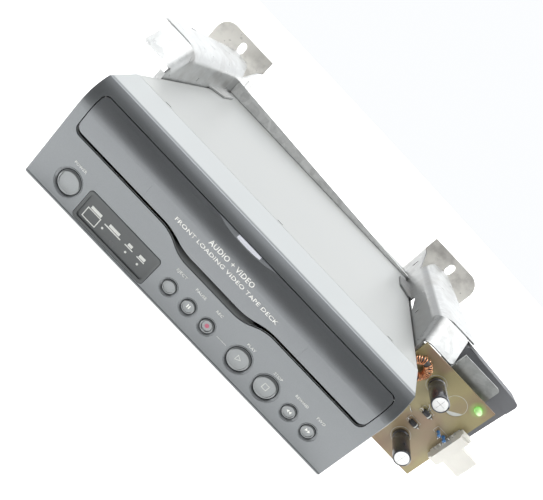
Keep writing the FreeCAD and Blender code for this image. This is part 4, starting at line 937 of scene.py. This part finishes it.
# %% Resistors
tinned = brushed("tinned_wire", (0.80, 0.80, 0.79), 0.22, "Z")
blue = moulded("blue_lacquer", (0.055, 0.19, 0.44), 0.28, Coat_Weight=0.4)
body_outline = [(0.5, 0.0), (1.15, 0.15), (1.4, 0.6), (1.4, 1.5), (1.18, 2.1), (1.12, 3.5), (1.18, 4.9),
                (1.4, 5.5), (1.4, 6.4), (1.15, 6.85), (0.5, 7.0)]
bodies, leads = [], []
for x in (196.5, 202.0):
    place = Matrix.Translation((x * MM, BOARD_FACE - 1.5 * MM, 54 * MM)) @ TO_FRONT
    bodies.append(settle(turned("body", [(r * MM, h * MM) for r, h in body_outline], 28), place, smooth=35))
    face = BOARD_FACE / MM
    leads.append(wire("lead", [Vector(p) * MM for p in (
        (x, face - 8.2, 54), (x, face - 9.4, 54), (x, face - 9.9, 53.2), (x, face - 9.7, 52.2),
        (x, face - 8.6, 51.8), (x, face - 4, 51.8), (x, face + 0.3, 51.8))], 0.27 * MM))
    leads.append(wire("lead", [Vector(p) * MM for p in (
        (x, face - 1.8, 54), (x, face - 0.6, 54), (x, face + 0.3, 54))], 0.27 * MM))
resistors = finish_piece(joined("blue_resistors", bodies), blue, "recorder")
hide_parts("module_components")

# %% Diodes and their bands
diode_outline = [(1.5, -3.5), (1.95, -3.35), (2.1, -2.9), (2.1, 2.9), (1.95, 3.35), (1.5, 3.5)]
ALONG_X = Matrix.Rotation(math.pi / 2, 4, "Y")
diodes, bands = [], []
for z in (57.5, 44.5):
    place = Matrix.Translation((180 * MM, BOARD_FACE - 3 * MM, z * MM)) @ ALONG_X
    diodes.append(settle(turned("diode", [(r * MM, h * MM) for r, h in diode_outline], 32), place, smooth=35))
    ring = turned("band", [(2.0 * MM, 1.5 * MM), (2.14 * MM, 1.52 * MM),
                           (2.14 * MM, 2.5 * MM), (2.0 * MM, 2.52 * MM)], 32)
    bands.append(settle(ring, place, smooth=35))
    for side in (-1, 1):
        leads.append(wire("lead", [Vector(p) * MM for p in (
            (180 + side * 3.2, face - 3, z), (180 + side * 4.9, face - 3, z), (180 + side * 5.9, face - 2.5, z),
            (180 + side * 6.1, face - 1.4, z), (180 + side * 6.1, face + 0.3, z))], 0.42 * MM))
finish_piece(joined("diode_bodies", diodes), black_plastic, "recorder")
finish_piece(joined("diode_bands", bands), grey_ink, "recorder")
for x, z in ((175.5, 63.5), (177.5, 61.0), (167.5, 52.0)):
    leads.append(wire("link", [Vector(p) * MM for p in (
        (x, face + 0.3, z), (x, face - 1.5, z), (x + 0.8, face - 2.4, z - 0.6), (x + 4, face - 2.6, z - 2),
        (x + 4.8, face - 1.5, z - 2.4), (x + 4.8, face + 0.3, z - 2.4))], 0.32 * MM))
for row in range(7):
    z = 42.6 + row * 3.33
    leads.append(wire("pin", [Vector(p) * MM for p in (
        (206.2, face - 3.2, z), (204.9, face - 3.0, z), (204.2, face - 2.2, z), (204.1, face + 0.3, z))],
        0.30 * MM))
finish_piece(joined("tinned_leads", leads), tinned, "recorder")

# %% [markdown]
# ## Print on the board
# The board's maker prints the outline of each part in pale ink before the parts go in. The larger can
# has no part inside its circle here, only the filled segment that marks a negative side.

# %% Board print
def on_board(piece, x, z):
    thicken(piece, INK)
    return settle(piece, Matrix.Translation((x * MM, BOARD_FACE - 0.01 * MM, z * MM)) @ TO_FRONT)


segment = flat("segment", 64, 17 * MM, 17 * MM)
only(segment)
bpy.ops.object.mode_set(mode="EDIT")
bpy.ops.mesh.select_all(action="SELECT")
chord = Vector((0.568, -0.823, 0))
bpy.ops.mesh.bisect(plane_co=chord * 5.25 * MM, plane_no=chord, clear_inner=True)
bpy.ops.object.mode_set(mode="OBJECT")
print("segment corners", len(segment.data.vertices))
prints = [on_board(flat("ring", 96, 17 * MM, 17 * MM, line=0.25 * MM), 189, 77), on_board(segment, 189, 77)]
for x, z in ((167.3, 77.7), (183.1, 29.2)):
    prints.append(on_board(flat("ring", 96, 15.4 * MM, 15.4 * MM, line=0.25 * MM), x, z))
for x, z, width, height in ((180, 57.5, 10.4, 5.6), (180, 44.5, 10.4, 5.6), (199.2, 54, 10.5, 5.2)):
    prints.append(on_board(flat("outline", 4, width * MM, height * MM, 45, 0.22 * MM), x, z))
finish_piece(joined("board_print", prints), grey_ink, "recorder")

# %% [markdown]
# ## Socket rings and words on the back
# The phono sockets are told apart by coloured rings: yellow for video, white and red for the two
# sound channels. The words above them are plain.

# %% Rings and words on the back
BACK_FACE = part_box("rear_panel")[1].y
yellow = moulded("yellow_ring", (0.80, 0.56, 0.06), 0.35)
white_ring = moulded("white_ring", (0.82, 0.81, 0.76), 0.35)
red = moulded("red_ring", (0.58, 0.035, 0.030), 0.35)
ring_tones = ((yellow, "yellow_plastic"), (white_ring, "white_plastic"), (red, "red_plastic"))
for column, (tone, slot) in enumerate(ring_tones):
    for row, z in (("in", 24), ("out", 42)):
        ring = thicken(flat("ring", 48, 11.2 * MM, 11.2 * MM, line=1.3 * MM), 0.9 * MM)
        settle(ring, Matrix.Translation(((-96 + 17 * column) * MM, BACK_FACE + 0.02 * MM, z * MM)) @ TO_BACK)
        ring.name = "socket_ring_%s_%d" % (row, column + 1)
        finish_piece(ring, tone, "recorder")
for name, text, width, x, z in (("word_video", "VIDEO", 11, -96, 52), ("word_audio", "AUDIO", 11, -70.5, 52),
                                ("word_in", "IN", 4, -108, 24), ("word_out", "OUT", 7, -109, 42),
                                ("word_supply", "DC 12 V", 14, 40, 35)):
    piece = words(name, text, 2.6 * MM, width * MM)
    lay_on(piece, "rear_panel", x * MM, z * MM, TO_BACK)
    finish_piece(piece, dark_ink, "recorder")
